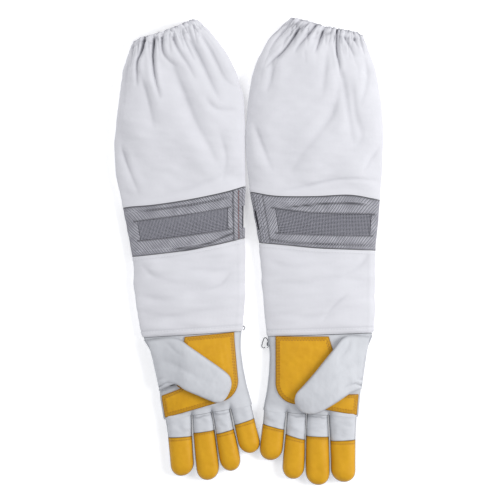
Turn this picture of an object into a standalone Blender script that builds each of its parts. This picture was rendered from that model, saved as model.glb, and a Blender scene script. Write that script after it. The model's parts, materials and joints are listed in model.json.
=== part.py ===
"""A pair of gauntlet gloves for beekeeping, lying side by side with the palms up.

Each glove has its own frame: the origin is on the wrist seam, +v runs up the sleeve to the cuff and
+u runs across to the thumb side. The left-hand glove has its thumb at +X and the right-hand glove
is its mirror image. All sizes are in millimetres and become metres in to_world().
"""

import math

import bmesh
import bpy
from mathutils import Matrix, Vector

MM = 0.001

# Walls and gaps
CANVAS = 0.9  # two plies at the seams
NETTING = 0.8
LEATHER = 1.2
ELASTIC = 1.2
SEAM_GAP = 0.5  # between pieces that are sewn edge to edge
LAY_GAP = 0.5  # between pieces that lie on each other

# Sleeve, from the wrist seam to the edge of the cuff
WRIST_WIDTH = 120.0
WRIST_THICK = 16.0
LOWER_LENGTH = 101.0
VENT_LENGTH = 58.0
VENT_LOW_WIDTH = 131.0
VENT_TOP_WIDTH = 147.0
VENT_THICK = 18.0
VENT_SLANT = 6.0  # degrees; the seams rise to the little finger's side
UPPER_LENGTH = 196.0
SLEEVE_WIDTH = 155.0
SLEEVE_THICK = 27.0
CUFF_THICK = 22.0
HEM_WIDTH = 12.0
HEM_THICK = 4.8
HEM_GAP = 0.9  # between the hem and the sleeve below it
# Along the upper sleeve from 0 to 1: share of the way from the cuff's width to the full width,
# share of the cuff's slant and shift, share of the sleeve's bow, and share of the full thickness
UPPER_SHAPE = (
    (0.17, 0.98, 0.0, 0.0, 0.3),
    (0.36, 1.00, 0.0, 0.3, 1.0),
    (0.53, 0.94, 0.0, 1.0, 1.0),
    (0.67, 0.82, 0.10, 0.9, 0.85),
    (0.78, 0.69, 0.25, 0.5, 0.65),
    (0.89, 0.44, 0.50, 0.4, 0.4),
    (1.00, 0.00, 1.00, 0.5, 0.0),
)

# Window of the vent band, the same on the palm's side and on the back
WINDOW_WIDTH = 105.0
WINDOW_HEIGHT = 27.0
WINDOW_SHIFT = 6.0  # towards the thumb's side
WINDOW_CORNER = 3.0
TAPE_POINTS = (1, 2)  # the seam tape runs between these points of a ring

# Hand, from the wrist seam to the line of the knuckles
HAND_WIDTH = 112.0  # at the wrist
HAND_LENGTH = 91.0  # to the knuckle line's middle
HAND_THICK = 18.5
PALM_WIDTH = 103.5  # at the middle of the palm
KNUCKLE_WIDTH = 106.0
KNUCKLE_SHIFT = -10.8
KNUCKLE_SLANT = 4.0
KNUCKLE_THICK = 15.5

# Fingers, from the thumb's side: place along the knuckle line, widths at the root, at the seam
# of the tip and at the fullest, and the length of the white stall
FINGERS = {
    "index": {"at": 36.0, "root": 31.0, "seam": 27.0, "full": 26.6, "stall": 27.5},
    "middle": {"at": 7.4, "root": 23.4, "seam": 26.0, "full": 27.4, "stall": 25.0},
    "ring": {"at": -15.7, "root": 21.4, "seam": 22.4, "full": 25.0, "stall": 27.5},
    "little": {"at": -40.0, "root": 25.4, "seam": 25.0, "full": 26.2, "stall": 17.5},
}
TIP_ROUND = 15.0  # length of the rounded end of a finger

# Thumb, folded over the palm. Each station runs from the wrist's side to the finger's side
THUMB_THICK = 12.5
THUMB_CLEAR = 1.0  # between the thumb and what it lies on
THUMB_RISE = 1.6  # thickness at the fold line
THUMB_STATIONS = (
    # wrist-side point, finger-side point, share of the thickness
    ((33.0, -3.5), (33.5, -66.0), 0.55),
    ((11.5, -19.0), (19.0, -73.0), 0.95),
    ((-8.0, -43.5), (7.0, -82.0), 1.00),
    ((-20.5, -58.0), (-3.0, -88.3), 0.95),
    ((-27.5, -66.5), (-11.5, -90.3), 0.85),
    ((-29.8, -74.0), (-19.5, -88.3), 0.62),
    ((-28.6, -79.5), (-24.5, -84.6), 0.30),
)
THUMB_ROOT = (-14.0, -62.0)  # the fold line runs along the hand's edge between these v
THUMB_ROOT_OUT = 1.2  # the fold line is this far outside the hand's edge
THUMB_HOLE = (33.0, -36.0)
THUMB_HOLE_SIZE = (17.0, 40.0)

# Yellow patch on the palm, as its outline; the two rounded corners are arcs
PATCH_TOP = -1.5
PATCH_ULNAR = -50.5
PATCH_WRIST_END = 9.0
PATCH_CORNER = 24.0  # radius of the corner by the little finger
PATCH_FOOT = 2.5  # between the patch and the knuckle line on the index finger's side
PATCH_SLANT = 11.0  # its lower edge drops to the index finger's side
PATCH_ARM_TOP = -68.0  # upper edge of the arm that runs to the index finger's side
PATCH_ARM_IN = 26.0
PATCH_INNER_CORNER = 10.0
PATCH_EDGE = 1.0  # between the patch and the hand's edge

# Hook that clips the pair together: a wire whose straight leg turns in the bore of a crimped tab
WIRE = 1.2
HOOK_AT = -11.0
HOOK_WIDTH = 7.4
HOOK_HEIGHT = 12.0
HOOK_DROOP = 14.0  # degrees below level
TAB_WIDTH = 4.0
TAB_BORE = 2.0
TAB_OUTER = 3.4
TAB_GAP = 1.0  # between the tab and the hand's edge
EYE_AT = 3.6
EYE_HEIGHT = 5.0
EYE_REACH = 2.4

SIDE_SHARE = 0.42  # height of the side seams as a share of the thickness
SEAM_STAND = 1.2  # the walls stand upright this far above and below a side seam
SLEEVE_STEPS = 10  # points across each side of a sleeve or hand ring
FINGER_STEPS = 8

GLOVES = {
    "left": {
        "side": 1,
        "wrist": (SLEEVE_WIDTH / 2 + 3.8, -95.4),
        "sleeve_lean": 1.9,
        "cuff": (86.0, 18.0, 14.5),  # width, shift to the thumb's side and slant in degrees
        "gather": 1.0,  # how fast the upper sleeve narrows to the cuff
        "bow": 2.0,  # sideways drift of the upper sleeve
        "hand_lean": 0.0,
        "thumb_move": (0.0, 0.0),
        "trim": {"index": 0.0, "middle": 0.0, "ring": 0.0, "little": 0.0},  # off the stalls' lengths
        "tips": {"index": (26.0, -169.0), "middle": (-2.8, -172.5), "ring": (-31.0, -165.5), "little": (-56.6, -144.0)},
    },
    "right": {
        "side": -1,
        "wrist": (10.0 - SLEEVE_WIDTH / 2, -95.4),
        "sleeve_lean": 3.7,
        "cuff": (80.0, 10.0, 11.5),
        "gather": 1.5,
        "bow": -4.6,
        "hand_lean": 5.3,
        "thumb_move": (-7.0, 8.0),
        "trim": {"index": 5.5, "middle": 4.5, "ring": 3.0, "little": 0.5},
        "tips": {"index": (25.0, -160.5), "middle": (-5.2, -168.0), "ring": (-33.4, -160.0), "little": (-57.6, -141.6)},
    },
}

COLOURS = {
    "canvas": ((0.80, 0.80, 0.82, 1), 0.85, 0.0),
    "netting": ((0.35, 0.35, 0.37, 1), 0.8, 0.0),
    "dark_netting": ((0.10, 0.10, 0.12, 1), 0.8, 0.0),
    "white_leather": ((0.74, 0.76, 0.79, 1), 0.6, 0.0),
    "yellow_leather": ((0.74, 0.40, 0.02, 1), 0.6, 0.0),
    "elastic": ((0.85, 0.85, 0.83, 1), 0.8, 0.0),
    "steel": ((0.60, 0.60, 0.62, 1), 0.3, 1.0),
}


def clear_scene():
    for obj in list(bpy.data.objects):
        bpy.data.objects.remove(obj)


def collection(name):
    made = bpy.data.collections.new(name)
    bpy.context.scene.collection.children.link(made)
    return made


def material(name):
    if name in bpy.data.materials:
        return bpy.data.materials[name]
    colour, roughness, metallic = COLOURS[name]
    made = bpy.data.materials.new(name)
    made.use_nodes = True
    shader = made.node_tree.nodes["Principled BSDF"]
    shader.inputs["Base Color"].default_value = colour
    shader.inputs["Roughness"].default_value = roughness
    shader.inputs["Metallic"].default_value = metallic
    return made


def empty(name, parent, place, turn=0.0):
    """An empty at place, in its parent's frame, turned about Z by turn degrees."""
    made = bpy.data.objects.new(name, None)
    parts.objects.link(made)
    made.parent = parent
    made.location = Vector(place) * MM
    made.rotation_euler = (0, 0, math.radians(turn))
    return made


def to_mesh_object(name, mesh, parent, finish):
    made = bpy.data.objects.new(name, mesh)
    parts.objects.link(made)
    made.parent = parent
    mesh.materials.append(material(finish))
    return made


def mix(a, b, t):
    return a + (b - a) * t


def looked_up(table, at):
    """The rows of table, whose first value rises, mixed linearly at `at`."""
    for low, high in zip(table, table[1:]):
        if at <= high[0] or high is table[-1]:
            t = (at - low[0]) / (high[0] - low[0])
            return [mix(x, y, t) for x, y in zip(low[1:], high[1:])]
    return None


def arch(x):
    """Height of the crown from 0 at the side seams to 1 in the middle, x from -1 to 1."""
    return max(0.0, 1 - abs(x) ** 2.4) ** 0.6


class Ring:
    """A section across a glove: a flat-bottomed, crowned oval between its two side seams."""

    def __init__(self, centre, half, slant, thick, lift=0.0):
        self.centre = Vector((*centre, 0))
        angle = math.radians(slant)
        self.across = Vector((math.cos(angle), -math.sin(angle), 0)) * half
        self.thick = thick
        self.side = SIDE_SHARE * thick
        self.lift = lift

    def at(self, x, z):
        return self.centre + self.across * x + Vector((0, 0, z + self.lift))

    def top(self, x):
        low = self.side + SEAM_STAND
        return self.at(x, low + (self.thick - low) * arch(x))

    def bottom(self, x):
        return self.at(x, (self.side - SEAM_STAND) * (1 - min(1, 1.3 * arch(x))))

    def half(self, steps, upper):
        """Points from the little finger's side to the thumb's side, over the top or underneath."""
        across = [-math.cos(math.pi * k / steps) for k in range(steps + 1)]
        return [self.top(x) if upper else self.bottom(x) for x in across]

    def panel(self, steps, upper):
        """A half with its upright edges, which stop short of the side seams."""
        edge = self.side + (SEAM_GAP / 2 if upper else -SEAM_GAP / 2)
        return [self.at(-1, edge), *self.half(steps, upper), self.at(1, edge)]

    def whole(self, steps):
        return self.half(steps, True) + self.half(steps, False)[::-1]


def surface(rows, side, up=None, gap=0.0):
    """A surface through rows of points, moved out along its normals by gap.

    It is a tube facing outwards, or an open panel facing up or down.
    """
    closed = up is None
    mesh = bpy.data.meshes.new("surface")
    bm = bmesh.new()
    grid = [[bm.verts.new((p.x * side * MM, p.y * MM, p.z * MM)) for p in row] for row in rows]
    for low, high in zip(grid, grid[1:]):
        count = len(low)
        for k in range(count if closed else count - 1):
            n = (k + 1) % count
            bm.faces.new((low[k], low[n], high[n], high[k]))
    bmesh.ops.remove_doubles(bm, verts=bm.verts, dist=0.000001)
    bm.normal_update()
    middle = sum((v.co for v in bm.verts), Vector()) / len(bm.verts)
    if not closed:
        middle.z += -1 if up else 1
    if sum(f.normal.dot(f.calc_center_median() - middle) * f.calc_area() for f in bm.faces) < 0:
        bmesh.ops.reverse_faces(bm, faces=bm.faces)
        bm.normal_update()
    for vert, normal in [(v, v.normal.copy()) for v in bm.verts]:
        vert.co += normal * gap * MM
    bm.to_mesh(mesh)
    bm.free()
    return mesh


def hoop(name, profile, glove, parent, finish):
    """A closed hoop at the cuff, whose profile is a list of places along the sleeve and insets."""
    fold = Vector((0, LOWER_LENGTH + VENT_LENGTH, 0))
    rows = [[p - fold for p in sleeve_ring(glove, v, inset).whole(SLEEVE_STEPS)] for v, inset in profile]
    mesh = surface([*rows, rows[0]], glove["side"])
    return to_mesh_object(name, mesh, parent, finish)


def thicken(obj, wall, outwards=False):
    modifier = obj.modifiers.new("wall", "SOLIDIFY")
    modifier.thickness = wall * MM
    modifier.offset = 1 if outwards else -1
    modifier.use_even_offset = True


def shell(name, rows, glove, parent, finish, wall, up=None, gap=0.0, outwards=False):
    made = to_mesh_object(name, surface(rows, glove["side"], up, gap), parent, finish)
    thicken(made, wall, outwards)
    return made


def boolean(obj, operation, other):
    modifier = obj.modifiers.new(operation.lower(), "BOOLEAN")
    modifier.operation = operation
    modifier.object = other
    modifier.solver = "EXACT"


def prism(name, outline, side, low, high, parent):
    """A cutter: a flat outline standing from low to high."""
    bm = bmesh.new()
    face = bm.faces.new([bm.verts.new((u * side * MM, v * MM, low * MM)) for u, v in outline])
    lifted = bmesh.ops.extrude_face_region(bm, geom=[face])["geom"]
    verts = [g for g in lifted if isinstance(g, bmesh.types.BMVert)]
    bmesh.ops.translate(bm, verts=verts, vec=(0, 0, (high - low) * MM))
    bmesh.ops.recalc_face_normals(bm, faces=bm.faces)
    mesh = bpy.data.meshes.new(name)
    bm.to_mesh(mesh)
    bm.free()
    made = bpy.data.objects.new(name, mesh)
    cutters.objects.link(made)
    made.parent = parent
    made.hide_render = True
    made.display_type = "WIRE"
    return made


def arc(centre, radius, start, end, steps=6):
    """Points on an arc, angles in degrees."""
    angles = [math.radians(mix(start, end, k / steps)) for k in range(steps + 1)]
    return [(centre[0] + radius * math.cos(a), centre[1] + radius * math.sin(a)) for a in angles]


def rounded_box(centre, width, height, radius, slant):
    """Outline of a box with round corners, turned by slant degrees like a ring."""
    points = []
    for sx, sy, start in ((1, 1, 0), (-1, 1, 90), (-1, -1, 180), (1, -1, 270)):
        corner = (sx * (width / 2 - radius), sy * (height / 2 - radius))
        points += arc(corner, radius, start, start + 90, 3)
    c, s = math.cos(math.radians(slant)), math.sin(math.radians(slant))
    return [(centre[0] + u * c + v * s, centre[1] - u * s + v * c) for u, v in points]


def sleeve_table(glove):
    """Stations of the sleeve: v, half width, slant, shift and thickness."""
    cuff_width, cuff_shift, cuff_slant = glove["cuff"]
    vent_low, vent_top = LOWER_LENGTH, LOWER_LENGTH + VENT_LENGTH
    rows = [
        (0, WRIST_WIDTH / 2, 0, 0, WRIST_THICK),
        (vent_low * 0.25, mix(WRIST_WIDTH, VENT_LOW_WIDTH, 0.4) / 2, 0, 0, WRIST_THICK * 1.05),
        (vent_low, VENT_LOW_WIDTH / 2, VENT_SLANT, 0, VENT_THICK),
        (vent_top, VENT_TOP_WIDTH / 2, VENT_SLANT, -1, VENT_THICK),
    ]
    for along, width, cuff, bow, thick in UPPER_SHAPE:
        rows.append(
            (
                vent_top + along * UPPER_LENGTH,
                mix(cuff_width, SLEEVE_WIDTH, width ** glove["gather"]) / 2,
                mix(mix(VENT_SLANT, 2, min(1, along * 2)), cuff_slant, cuff),
                cuff_shift * cuff * mix(0.8, 1, width == 0) + glove["bow"] * bow,
                mix(CUFF_THICK, SLEEVE_THICK, thick),
            )
        )
    return rows


def sleeve_ring(glove, v, inset=0.0):
    half, slant, shift, thick = looked_up(sleeve_table(glove), v)
    return Ring((shift, v), half - inset, slant, thick - 2 * inset, inset)


def sleeve_rows(glove, low, high, steps=SLEEVE_STEPS):
    """Whole rings from low to high, with one at each station between them."""
    between = [row[0] for row in sleeve_table(glove) if low + 3 < row[0] < high - 3]
    return [sleeve_ring(glove, v).whole(steps) for v in [low, *between, high]]


def hand_table(turn):
    """Stations of the hand: v, half width, slant, shift and thickness. turn is the wrist's bend."""
    return [
        (-HAND_LENGTH, KNUCKLE_WIDTH / 2, KNUCKLE_SLANT, KNUCKLE_SHIFT, KNUCKLE_THICK),
        (-HAND_LENGTH * 0.72, PALM_WIDTH / 2, 2, KNUCKLE_SHIFT * 0.69, HAND_THICK),
        (-HAND_LENGTH * 0.48, PALM_WIDTH / 2, 0, KNUCKLE_SHIFT * 0.48, HAND_THICK),
        (-HAND_LENGTH * 0.24, mix(PALM_WIDTH, HAND_WIDTH, 0.25) / 2, 0, KNUCKLE_SHIFT * 0.30, HAND_THICK * 0.97),
        (0, HAND_WIDTH / 2, turn, 0, WRIST_THICK),
    ]


def hand_ring(v, turn):
    half, slant, shift, thick = looked_up(hand_table(turn), v)
    return Ring((shift, v), half, slant, thick)


def hand_top(u, v):
    """Height of the palm's surface over a point of the hand."""
    v = min(0, max(-HAND_LENGTH, v))
    ring = hand_ring(v, 0)
    ring = hand_ring(min(0, max(-HAND_LENGTH, v - ring.across.y * (u - ring.centre.x) / ring.across.x)), 0)
    x = (u - ring.centre.x) / ring.across.x
    return ring.top(max(-1, min(1, x))).z


def hand_edge(v):
    """u of the hand's edge on the thumb's side."""
    ring = hand_ring(v, 0)
    return ring.centre.x + ring.across.x


def sleeve(side, glove, lower, upper):
    """Canvas sleeve, vent band and gathered cuff."""
    vent_low, vent_top = LOWER_LENGTH, LOWER_LENGTH + VENT_LENGTH
    cuff = vent_top + UPPER_LENGTH
    half = SEAM_GAP / 2
    fold = Vector((0, vent_top, 0))

    def moved(rows):
        return [[p - fold for p in row] for row in rows]

    shell(f"{side}_lower_sleeve", sleeve_rows(glove, half, vent_low - half), glove, lower, "canvas", CANVAS)
    band = sleeve_rows(glove, vent_low + half, vent_top - half)
    frame = shell(f"{side}_vent_frame", band, glove, lower, "netting", NETTING)
    middle = sleeve_ring(glove, (vent_low + vent_top) / 2)
    window = rounded_box(
        (middle.centre.x + WINDOW_SHIFT, middle.centre.y), WINDOW_WIDTH, WINDOW_HEIGHT, WINDOW_CORNER, VENT_SLANT
    )
    boolean(frame, "DIFFERENCE", prism(f"{side}_window_cutter", window, glove["side"], -10, VENT_THICK + 20, lower))
    shell(f"{side}_vent_mesh", band, glove, lower, "dark_netting", NETTING, gap=-(NETTING + LAY_GAP))
    first, last = TAPE_POINTS
    tape = [row[first : last + 1] for row in band]
    shell(f"{side}_vent_seam_tape", tape, glove, lower, "netting", NETTING, up=True, gap=LAY_GAP, outwards=True)

    hem_low = cuff - HEM_WIDTH
    rows = moved(sleeve_rows(glove, vent_top + half, hem_low - HEM_GAP))
    shell(f"{side}_upper_sleeve", rows, glove, upper, "canvas", CANVAS)
    ply = CANVAS + 0.2
    inner = [(cuff, HEM_THICK), (hem_low, HEM_THICK), (hem_low, HEM_THICK - ply)]
    channel = [(cuff - ply, HEM_THICK - ply), (cuff - ply, ply), (hem_low, ply)]
    hoop(f"{side}_cuff_hem", [(hem_low, 0), (cuff, 0), *inner, *channel], glove, upper, "canvas")
    slack = (HEM_THICK - 2 * ply - ELASTIC) / 2
    near, far = ply + slack, ply + slack + ELASTIC
    low, high = hem_low + 1, cuff - ply - slack
    hoop(f"{side}_cuff_elastic", [(low, near), (high, near), (high, far), (low, far)], glove, upper, "elastic")


def patch_outline():
    """Outline of the yellow palm patch, from the wrist end round by the little finger."""
    outer = hand_edge(-HAND_LENGTH) - PATCH_EDGE
    knuckle = -HAND_LENGTH - math.tan(math.radians(KNUCKLE_SLANT)) * (outer - KNUCKLE_SHIFT)

    def foot(u):
        return knuckle + PATCH_FOOT - math.tan(math.radians(PATCH_SLANT)) * (u - outer)

    corner = (PATCH_ULNAR + PATCH_CORNER, foot(PATCH_ULNAR + PATCH_CORNER) + PATCH_CORNER)
    inner = (PATCH_ARM_IN - PATCH_INNER_CORNER, PATCH_ARM_TOP + PATCH_INNER_CORNER)
    return [
        (PATCH_WRIST_END, PATCH_TOP),
        (PATCH_ULNAR, PATCH_TOP),
        *arc(corner, PATCH_CORNER, 180, 270 - PATCH_SLANT),
        (outer, foot(outer)),
        (hand_edge(PATCH_ARM_TOP) - PATCH_EDGE, PATCH_ARM_TOP),
        *arc(inner, PATCH_INNER_CORNER, 290, 360, 4),
    ]


def hand(side, glove, parent):
    """Leather palm and back, and the yellow patch that is sewn on the palm."""
    turn = (glove["hand_lean"] - glove["sleeve_lean"]) * glove["side"]
    table = hand_table(turn)
    stations = [-HAND_LENGTH + SEAM_GAP / 2, *[row[0] for row in table[1:-1]], -SEAM_GAP / 2]
    rings = [hand_ring(v, turn) for v in stations]
    upper = [ring.panel(SLEEVE_STEPS, True) for ring in rings]
    lower = [ring.panel(SLEEVE_STEPS, False) for ring in rings]
    palm = shell(f"{side}_palm_panel", upper, glove, parent, "white_leather", LEATHER, up=True)
    hole = rounded_box(THUMB_HOLE, *THUMB_HOLE_SIZE, THUMB_HOLE_SIZE[0] * 0.45, 8)
    boolean(palm, "DIFFERENCE", prism(f"{side}_thumb_hole_cutter", hole, glove["side"], 5, HAND_THICK + 20, parent))
    shell(f"{side}_hand_back", lower, glove, parent, "white_leather", LEATHER, up=False)
    name = f"{side}_palm_patch"
    patch = shell(name, upper, glove, parent, "yellow_leather", LEATHER, up=True, gap=LAY_GAP, outwards=True)
    cut = prism(f"{side}_patch_outline", patch_outline(), glove["side"], 4, HAND_THICK + 20, parent)
    boolean(patch, "INTERSECT", cut)


def thumb(side, glove, parent, axis_start, axis_end):
    """Thumb folded over the palm: the outer leather turns over the hand's edge at the fold line."""
    clear = LAY_GAP + LEATHER + THUMB_CLEAR

    def row(p, q, share, upper, end=False):
        """Points from the wrist's side to the finger's side, on the outer or the under surface."""
        thick = THUMB_THICK * share
        seam = max(SEAM_STAND * 1.5, thick * SIDE_SHARE)
        edge = seam + (SEAM_GAP / 2 if upper else -SEAM_GAP / 2)
        points = []
        for k in range(FINGER_STEPS + 1):
            x = -math.cos(math.pi * k / FINGER_STEPS)
            if upper:
                z = seam + SEAM_STAND + max(0, thick - seam - SEAM_STAND) * arch(x)
            else:
                z = (seam - SEAM_STAND) * (1 - min(1, 1.3 * arch(x)))
            place = ((x + 1) / 2, edge if end else z)
            points += [(0, edge), place] if k == 0 else [place]
        points.append((1, edge))
        found = []
        for across, z in points:
            u, v = mix(p[0], q[0], across), mix(p[1], q[1], across)
            found.append(Vector((u, v, hand_top(u, v) + clear + z)) - axis_start)
        return found

    root = ((axis_start.x, axis_start.y), (axis_end.x, axis_end.y))
    stations = []
    for k, (p, q, share) in enumerate(THUMB_STATIONS):
        du, dv = (value * min(1, k / 2) for value in glove["thumb_move"])
        stations.append(((p[0] + du, p[1] + dv), (q[0] + du, q[1] + dv), share))
    outer = [row(*root, THUMB_RISE / THUMB_THICK, True)]
    outer += [row(*station, True) for station in stations] + [row(*stations[-1], True, end=True)]
    under = [row(*station, False) for station in stations[1:]] + [row(*stations[-1], False, end=True)]
    shell(f"{side}_thumb_outer", outer, glove, parent, "white_leather", LEATHER, up=True)
    shell(f"{side}_thumb_under", under, glove, parent, "white_leather", LEATHER, up=False)


def finger_line(name, glove):
    """Root, seam and tip of a finger's centreline, in the hand's frame."""
    slant = math.radians(KNUCKLE_SLANT)
    at = FINGERS[name]["at"]
    root = Vector((KNUCKLE_SHIFT + at * math.cos(slant), -HAND_LENGTH - at * math.sin(slant), 0))
    tip = Vector((*glove["tips"][name], 0))
    stall = FINGERS[name]["stall"] - glove["trim"][name]
    return root, root + (tip - root).normalized() * stall, tip


def finger(side, name, glove, base, tip_parent, root, seam, tip):
    """White stall at the root, yellow tip on the palm's side and white leather on the back."""
    size = FINGERS[name]
    length = (tip - root).length
    along = (tip - root) / length
    stall = (seam - root).length

    def ring(s, width, thick=KNUCKLE_THICK):
        centre = root + along * s
        return Ring((centre.x, centre.y), width / 2, KNUCKLE_SLANT, thick)

    widths = [
        (0, size["root"]),
        (stall, size["seam"]),
        (mix(stall, length, 0.5), size["full"]),
        (length - TIP_ROUND, size["full"]),
        (length, size["full"]),
    ]
    rows = []
    for s in (SEAM_GAP / 2, stall - SEAM_GAP / 2):
        rows.append([p - root for p in ring(s, looked_up(widths, s)[0]).whole(FINGER_STEPS)])
    shell(f"{side}_{name}_stall", rows, glove, base, "white_leather", LEATHER)

    stations = [(stall + SEAM_GAP / 2, 1.0), (mix(stall, length - TIP_ROUND, 0.5), 1.0), (length - TIP_ROUND, 1.0)]
    for q in (0.45, 0.75, 0.93):
        stations.append((length - TIP_ROUND * (1 - q), math.sqrt(1 - q * q)))
    start = root + along * stall
    halves = []
    for upper in (True, False):
        rows = []
        for s, share in stations:
            section = ring(s, looked_up(widths, s)[0] * share)
            points = section.panel(FINGER_STEPS, upper)
            edge = points[0].z
            rows.append([Vector((p.x, p.y, mix(edge, p.z, 0.55 + 0.45 * share))) - start for p in points])
        rows.append([Vector((p.x, p.y, rows[-1][0].z)) for p in rows[-1]])
        halves.append(rows)
    shell(f"{side}_{name}_tip", halves[0], glove, tip_parent, "yellow_leather", LEATHER, up=True)
    shell(f"{side}_{name}_back", halves[1], glove, tip_parent, "white_leather", LEATHER, up=False)


def wire(name, points, parent, finish="steel"):
    """A bent wire through points, round and capped."""
    curve = bpy.data.curves.new(name, "CURVE")
    curve.dimensions = "3D"
    curve.bevel_depth = WIRE / 2 * MM
    curve.bevel_resolution = 2
    curve.use_fill_caps = True
    spline = curve.splines.new("POLY")
    spline.points.add(len(points) - 1)
    for point, p in zip(spline.points, points):
        point.co = (p[0] * MM, p[1] * MM, p[2] * MM, 1)
    made = bpy.data.objects.new(name, curve)
    parts.objects.link(made)
    made.parent = parent
    curve.materials.append(material(finish))
    return made


def cutting(obj):
    """Makes a cutter of the active primitive."""
    for group in obj.users_collection:
        group.objects.unlink(obj)
    cutters.objects.link(obj)
    obj.hide_render = True
    obj.display_type = "WIRE"
    return obj


def round_bar(name, radius, length, parent):
    """A cutter: a round bar along v, around its parent's origin."""
    bpy.ops.mesh.primitive_cylinder_add(vertices=20, radius=radius * MM, depth=length * MM)
    bar = cutting(bpy.context.object)
    bar.name = name
    bar.parent = parent
    bar.rotation_euler = (math.radians(90), 0, 0)
    return bar


def hook_place():
    """Middle of the tab's bore, in the hand's frame."""
    ring = hand_ring(HOOK_AT, 0)
    return Vector((ring.centre.x - ring.across.x - TAB_GAP - TAB_OUTER / 2, HOOK_AT, ring.side))


def hook(swing, glove):
    """The hook and its tab, both around the leg of the hook; x runs to the thumb's side."""
    reach = TAB_OUTER / 2 + TAB_GAP - 0.5
    bpy.ops.mesh.primitive_cube_add(size=1)
    tab = bpy.context.object
    tab.name = "left_hook_tab"
    for vert in tab.data.vertices:
        vert.co = ((vert.co.x + 0.5) * reach * MM, vert.co.y * TAB_WIDTH * MM, vert.co.z * TAB_BORE * 0.7 * MM)
    for group in tab.users_collection:
        group.objects.unlink(tab)
    parts.objects.link(tab)
    tab.parent = swing
    tab.data.materials.append(material("steel"))
    boolean(tab, "UNION", round_bar("tab_eye_cutter", TAB_OUTER / 2, TAB_WIDTH, swing))
    boolean(tab, "DIFFERENCE", round_bar("tab_bore_cutter", TAB_BORE / 2, TAB_WIDTH + 4, swing))

    low, high, far = -TAB_WIDTH / 2 - 1.5, HOOK_HEIGHT * 0.62, -HOOK_WIDTH
    loop = [(-1.4, low - 0.5), (0, low), (0, TAB_WIDTH / 2 + 1)]
    loop += [(-0.6, high - 2.4), (-1.9, high - 0.7), (-3.4, high), (-4.7, high - 0.8)]
    loop += [(far * 0.85, high * 0.3), (far, low * 0.6), (far * 0.9, low * 1.15), (far * 0.66, low * 1.3)]
    loop += [(far * 0.48, low * 1.0)]
    droop = math.radians(HOOK_DROOP)
    return wire("left_pair_hook", [(x * glove["side"], y, x * math.sin(droop)) for x, y in loop], swing)


def pair_eye(forearm, glove):
    """Wire staple at the other glove's wrist seam, which the hook clips into."""
    ring = sleeve_ring(glove, EYE_AT)
    edge = ring.centre.x - ring.across.x - WIRE / 2 - SEAM_GAP
    bow = []
    for k in range(7):
        out = EYE_REACH * math.sin(math.pi * k / 6)
        bow.append(((edge - out) * glove["side"], EYE_AT + EYE_HEIGHT * (0.5 - k / 6), ring.side))
    wire("right_pair_eye", bow, forearm)


def build_glove(side, glove, pair):
    """One glove, with an empty on each line that it folds or bends along."""
    sign = glove["side"]
    lower = empty(f"{side}_forearm_frame", pair, (*glove["wrist"], 0), glove["sleeve_lean"])
    upper = empty(f"{side}_upper_frame", lower, (0, LOWER_LENGTH + VENT_LENGTH, 0))
    sleeve(side, glove, lower, upper)
    hand_frame = empty(f"{side}_hand_frame", lower, (0, 0, 0), glove["hand_lean"] - glove["sleeve_lean"])
    hand(side, glove, hand_frame)
    level = hand_ring(-HAND_LENGTH * 0.35, 0).side
    start, end = (Vector((hand_edge(v) + THUMB_ROOT_OUT, v, level)) for v in THUMB_ROOT)
    thumb_frame = empty(f"{side}_thumb_frame", hand_frame, (start.x * sign, start.y, start.z))
    thumb(side, glove, thumb_frame, start, end)
    for name in FINGERS:
        root, seam, tip = finger_line(name, glove)
        base = empty(f"{side}_{name}_base_frame", hand_frame, (root.x * sign, root.y, 0))
        tip_frame = empty(f"{side}_{name}_tip_frame", base, ((seam - root).x * sign, (seam - root).y, 0))
        finger(side, name, glove, base, tip_frame, root, seam, tip)
    return lower, hand_frame


def stand_on_origin(pair):
    """Moves the pair so that the middle of its footprint is the origin."""
    bpy.context.view_layer.update()
    graph = bpy.context.evaluated_depsgraph_get()
    corners = []
    for obj in parts.objects:
        if obj.type != "EMPTY":
            seen = obj.evaluated_get(graph)
            corners += [seen.matrix_world @ v.co for v in seen.to_mesh().vertices]
            seen.to_mesh_clear()
    low = [min(c[k] for c in corners) for k in range(3)]
    high = [max(c[k] for c in corners) for k in range(3)]
    pair.location -= Vector(((low[0] + high[0]) / 2, (low[1] + high[1]) / 2, low[2]))
    bpy.context.view_layer.update()


clear_scene()
parts = collection("beekeeping_gloves")
cutters = collection("cutters")
pair_frame = empty("pair_frame", None, (0, 0, 0))
for hand_side, lay in GLOVES.items():
    forearm_frame, palm_frame = build_glove(hand_side, lay, pair_frame)
    if hand_side == "left":
        hook(empty("left_hook_frame", palm_frame, hook_place()), lay)
    else:
        pair_eye(forearm_frame, lay)
stand_on_origin(pair_frame)
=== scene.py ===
# A pair of beekeeping gauntlets, palms up and side by side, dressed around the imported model.
# Each glove has its own frame in millimetres: +v runs up the sleeve from the wrist seam and
# +u runs across to the thumb's side. placed() turns it to metres where the wrist joint is.
import math

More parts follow.
